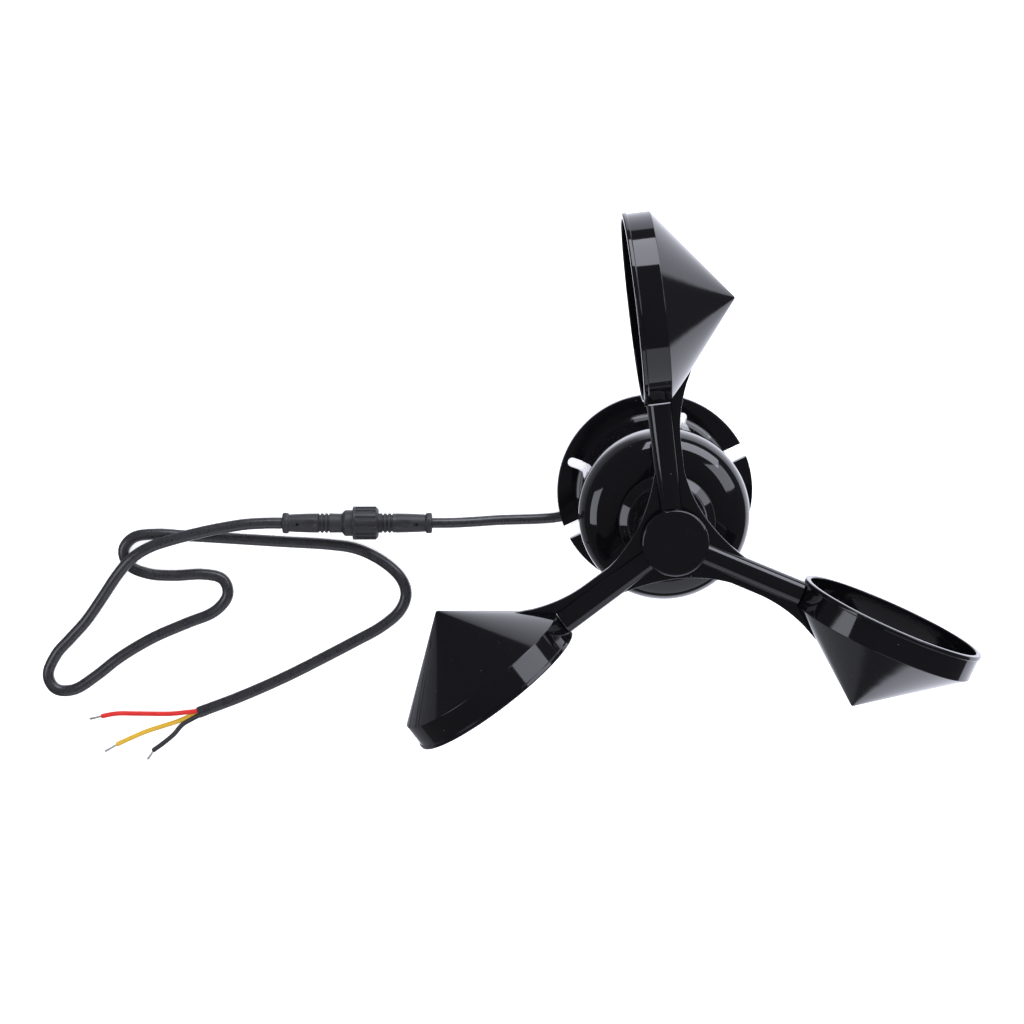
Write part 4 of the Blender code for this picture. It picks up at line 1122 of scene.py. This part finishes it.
# %% [markdown]
# ## Finishes of the carried-over parts
# The parts inside the sensor keep their engineering shapes.  Each gets the finish of its material.

# %% Carried-over nodes
for name, node in nodes.items():
    if node.hide_render:
        continue
    slots = node.data.materials
    slots.clear()
    slots.append(FINISHES[SLOT_OF[name]])
print("carried over:", sorted(name for name, node in nodes.items() if not node.hide_render))

# %% [markdown]
# ## Floor
# The sensor stands on a round white table.  The table glows a little by itself, so it stays white beside
# the black plastic, and it isn't mirrored in the plastic, so the rims stay deep black.

# %% Floor
start_clean()
bpy.ops.mesh.primitive_circle_add(vertices=128, radius=0.42, fill_type="NGON",
                                  location=(-0.04, 0.02, -0.0002))
floor = bpy.context.object
floor.name = "table_top"
table = Finish("white_table", Roughness=0.8, Emission_Color=(1, 1, 1, 1), Emission_Strength=0.6)
table.wire("Base Color", table.blend(table.noise(30, 3), (0.86, 0.86, 0.865, 1), (0.89, 0.89, 0.89, 1)))
floor.data.materials.append(table.material)
floor.visible_glossy = False
print("table top:", [round(side, 2) for side in floor.dimensions], "m")

# %% [markdown]
# ## Soft boxes
# Black plastic shows only what it mirrors, so the lights are large soft boxes round it: a bright wide one,
# two smaller ones beside it, and a dim one opposite.  The lamp that whitens the table hangs overhead and
# isn't mirrored, so the flat tops stay black.


# %% Soft boxes
def soft_box(name, azimuth, elevation, distance, width, height, radiance, mirrored=True):
    """A rectangular light at a compass angle round the sensor, facing its wheel."""
    start_clean()
    a, e = math.radians(azimuth), math.radians(elevation)
    aim = Vector((0, 0, 0.08))
    where = aim + distance * Vector((math.cos(e) * math.cos(a), math.cos(e) * math.sin(a), math.sin(e)))
    bpy.ops.object.light_add(type="AREA", location=where)
    lamp = bpy.context.object
    lamp.name = name
    lamp.rotation_mode = "QUATERNION"
    lamp.rotation_quaternion = (aim - where).to_track_quat("-Z", "Y")
    lamp.data.shape = "RECTANGLE"
    lamp.data.size, lamp.data.size_y = width, height
    lamp.data.energy = radiance * math.pi * width * height
    lamp.visible_camera = False
    lamp.visible_glossy = mirrored
    if mirrored:
        lamp.data.color = (0.93, 0.95, 1.07)
    print(name, round(lamp.data.energy, 1), "W")
    return lamp


UP, RIGHT, LEFT, DOWN = 64.5, -25.5, 154.5, 244.5
soft_box("wide_box", 46, 17, 0.75, 0.98, 0.5, 5.5)
soft_box("corner_box", 0, 32, 0.78, 0.3, 0.62, 3.2)
soft_box("narrow_box", LEFT, 28, 0.75, 0.36, 0.4, 3.2)
soft_box("dim_box", DOWN + 12, 24, 0.8, 1.1, 0.8, 1.0)
soft_box("table_lamp", UP, 90, 1.2, 0.9, 0.9, 5.5, mirrored=False)

# %% [markdown]
# ## Surroundings
# The camera sees plain white round the table.  The plastic mirrors something else: a darker room above,
# and light coming up from below, stronger on one side, which draws the bright edges of the rims.

# %% Surroundings
world = bpy.data.worlds.new("studio")
bpy.context.scene.world = world
world.use_nodes = True
air = world.node_tree
mirrored = air.nodes["Background"]
mirrored.inputs["Color"].default_value = (0.93, 0.95, 1.07, 1)
plain = air.nodes.new("ShaderNodeBackground")
plain.inputs["Color"].default_value = (1, 1, 1, 1)


def step(value, start, end, low, high):
    """A soft step of one value between two others."""
    made = air.nodes.new("ShaderNodeMapRange")
    made.interpolation_type = "SMOOTHSTEP"
    for socket, number in zip(("From Min", "From Max", "To Min", "To Max"), (start, end, low, high)):
        made.inputs[socket].default_value = number
    air.links.new(value, made.inputs["Value"])
    return made


direction = air.nodes.new("ShaderNodeTexCoord").outputs["Generated"]
split = air.nodes.new("ShaderNodeSeparateXYZ")
air.links.new(direction, split.inputs[0])
sideways = air.nodes.new("ShaderNodeVectorMath")
sideways.operation = "DOT_PRODUCT"
sideways.inputs[1].default_value = spun(RIGHT) @ Vector((1, 0, 0))
air.links.new(direction, sideways.inputs[0])
below = step(split.outputs["Z"], -0.36, -0.41, 0.11, 1.6)
level = step(sideways.outputs["Value"], -0.35, 0.0, 0.3, 1.6)
air.links.new(level.outputs["Result"], below.inputs["To Max"])
air.links.new(below.outputs["Result"], mirrored.inputs["Strength"])
seen = air.nodes.new("ShaderNodeLightPath")
either = air.nodes.new("ShaderNodeMixShader")
air.links.new(seen.outputs["Is Camera Ray"], either.inputs[0])
air.links.new(mirrored.outputs[0], either.inputs[1])
air.links.new(plain.outputs[0], either.inputs[2])
air.links.new(either.outputs[0], air.nodes["World Output"].inputs["Surface"])
print("studio ready")
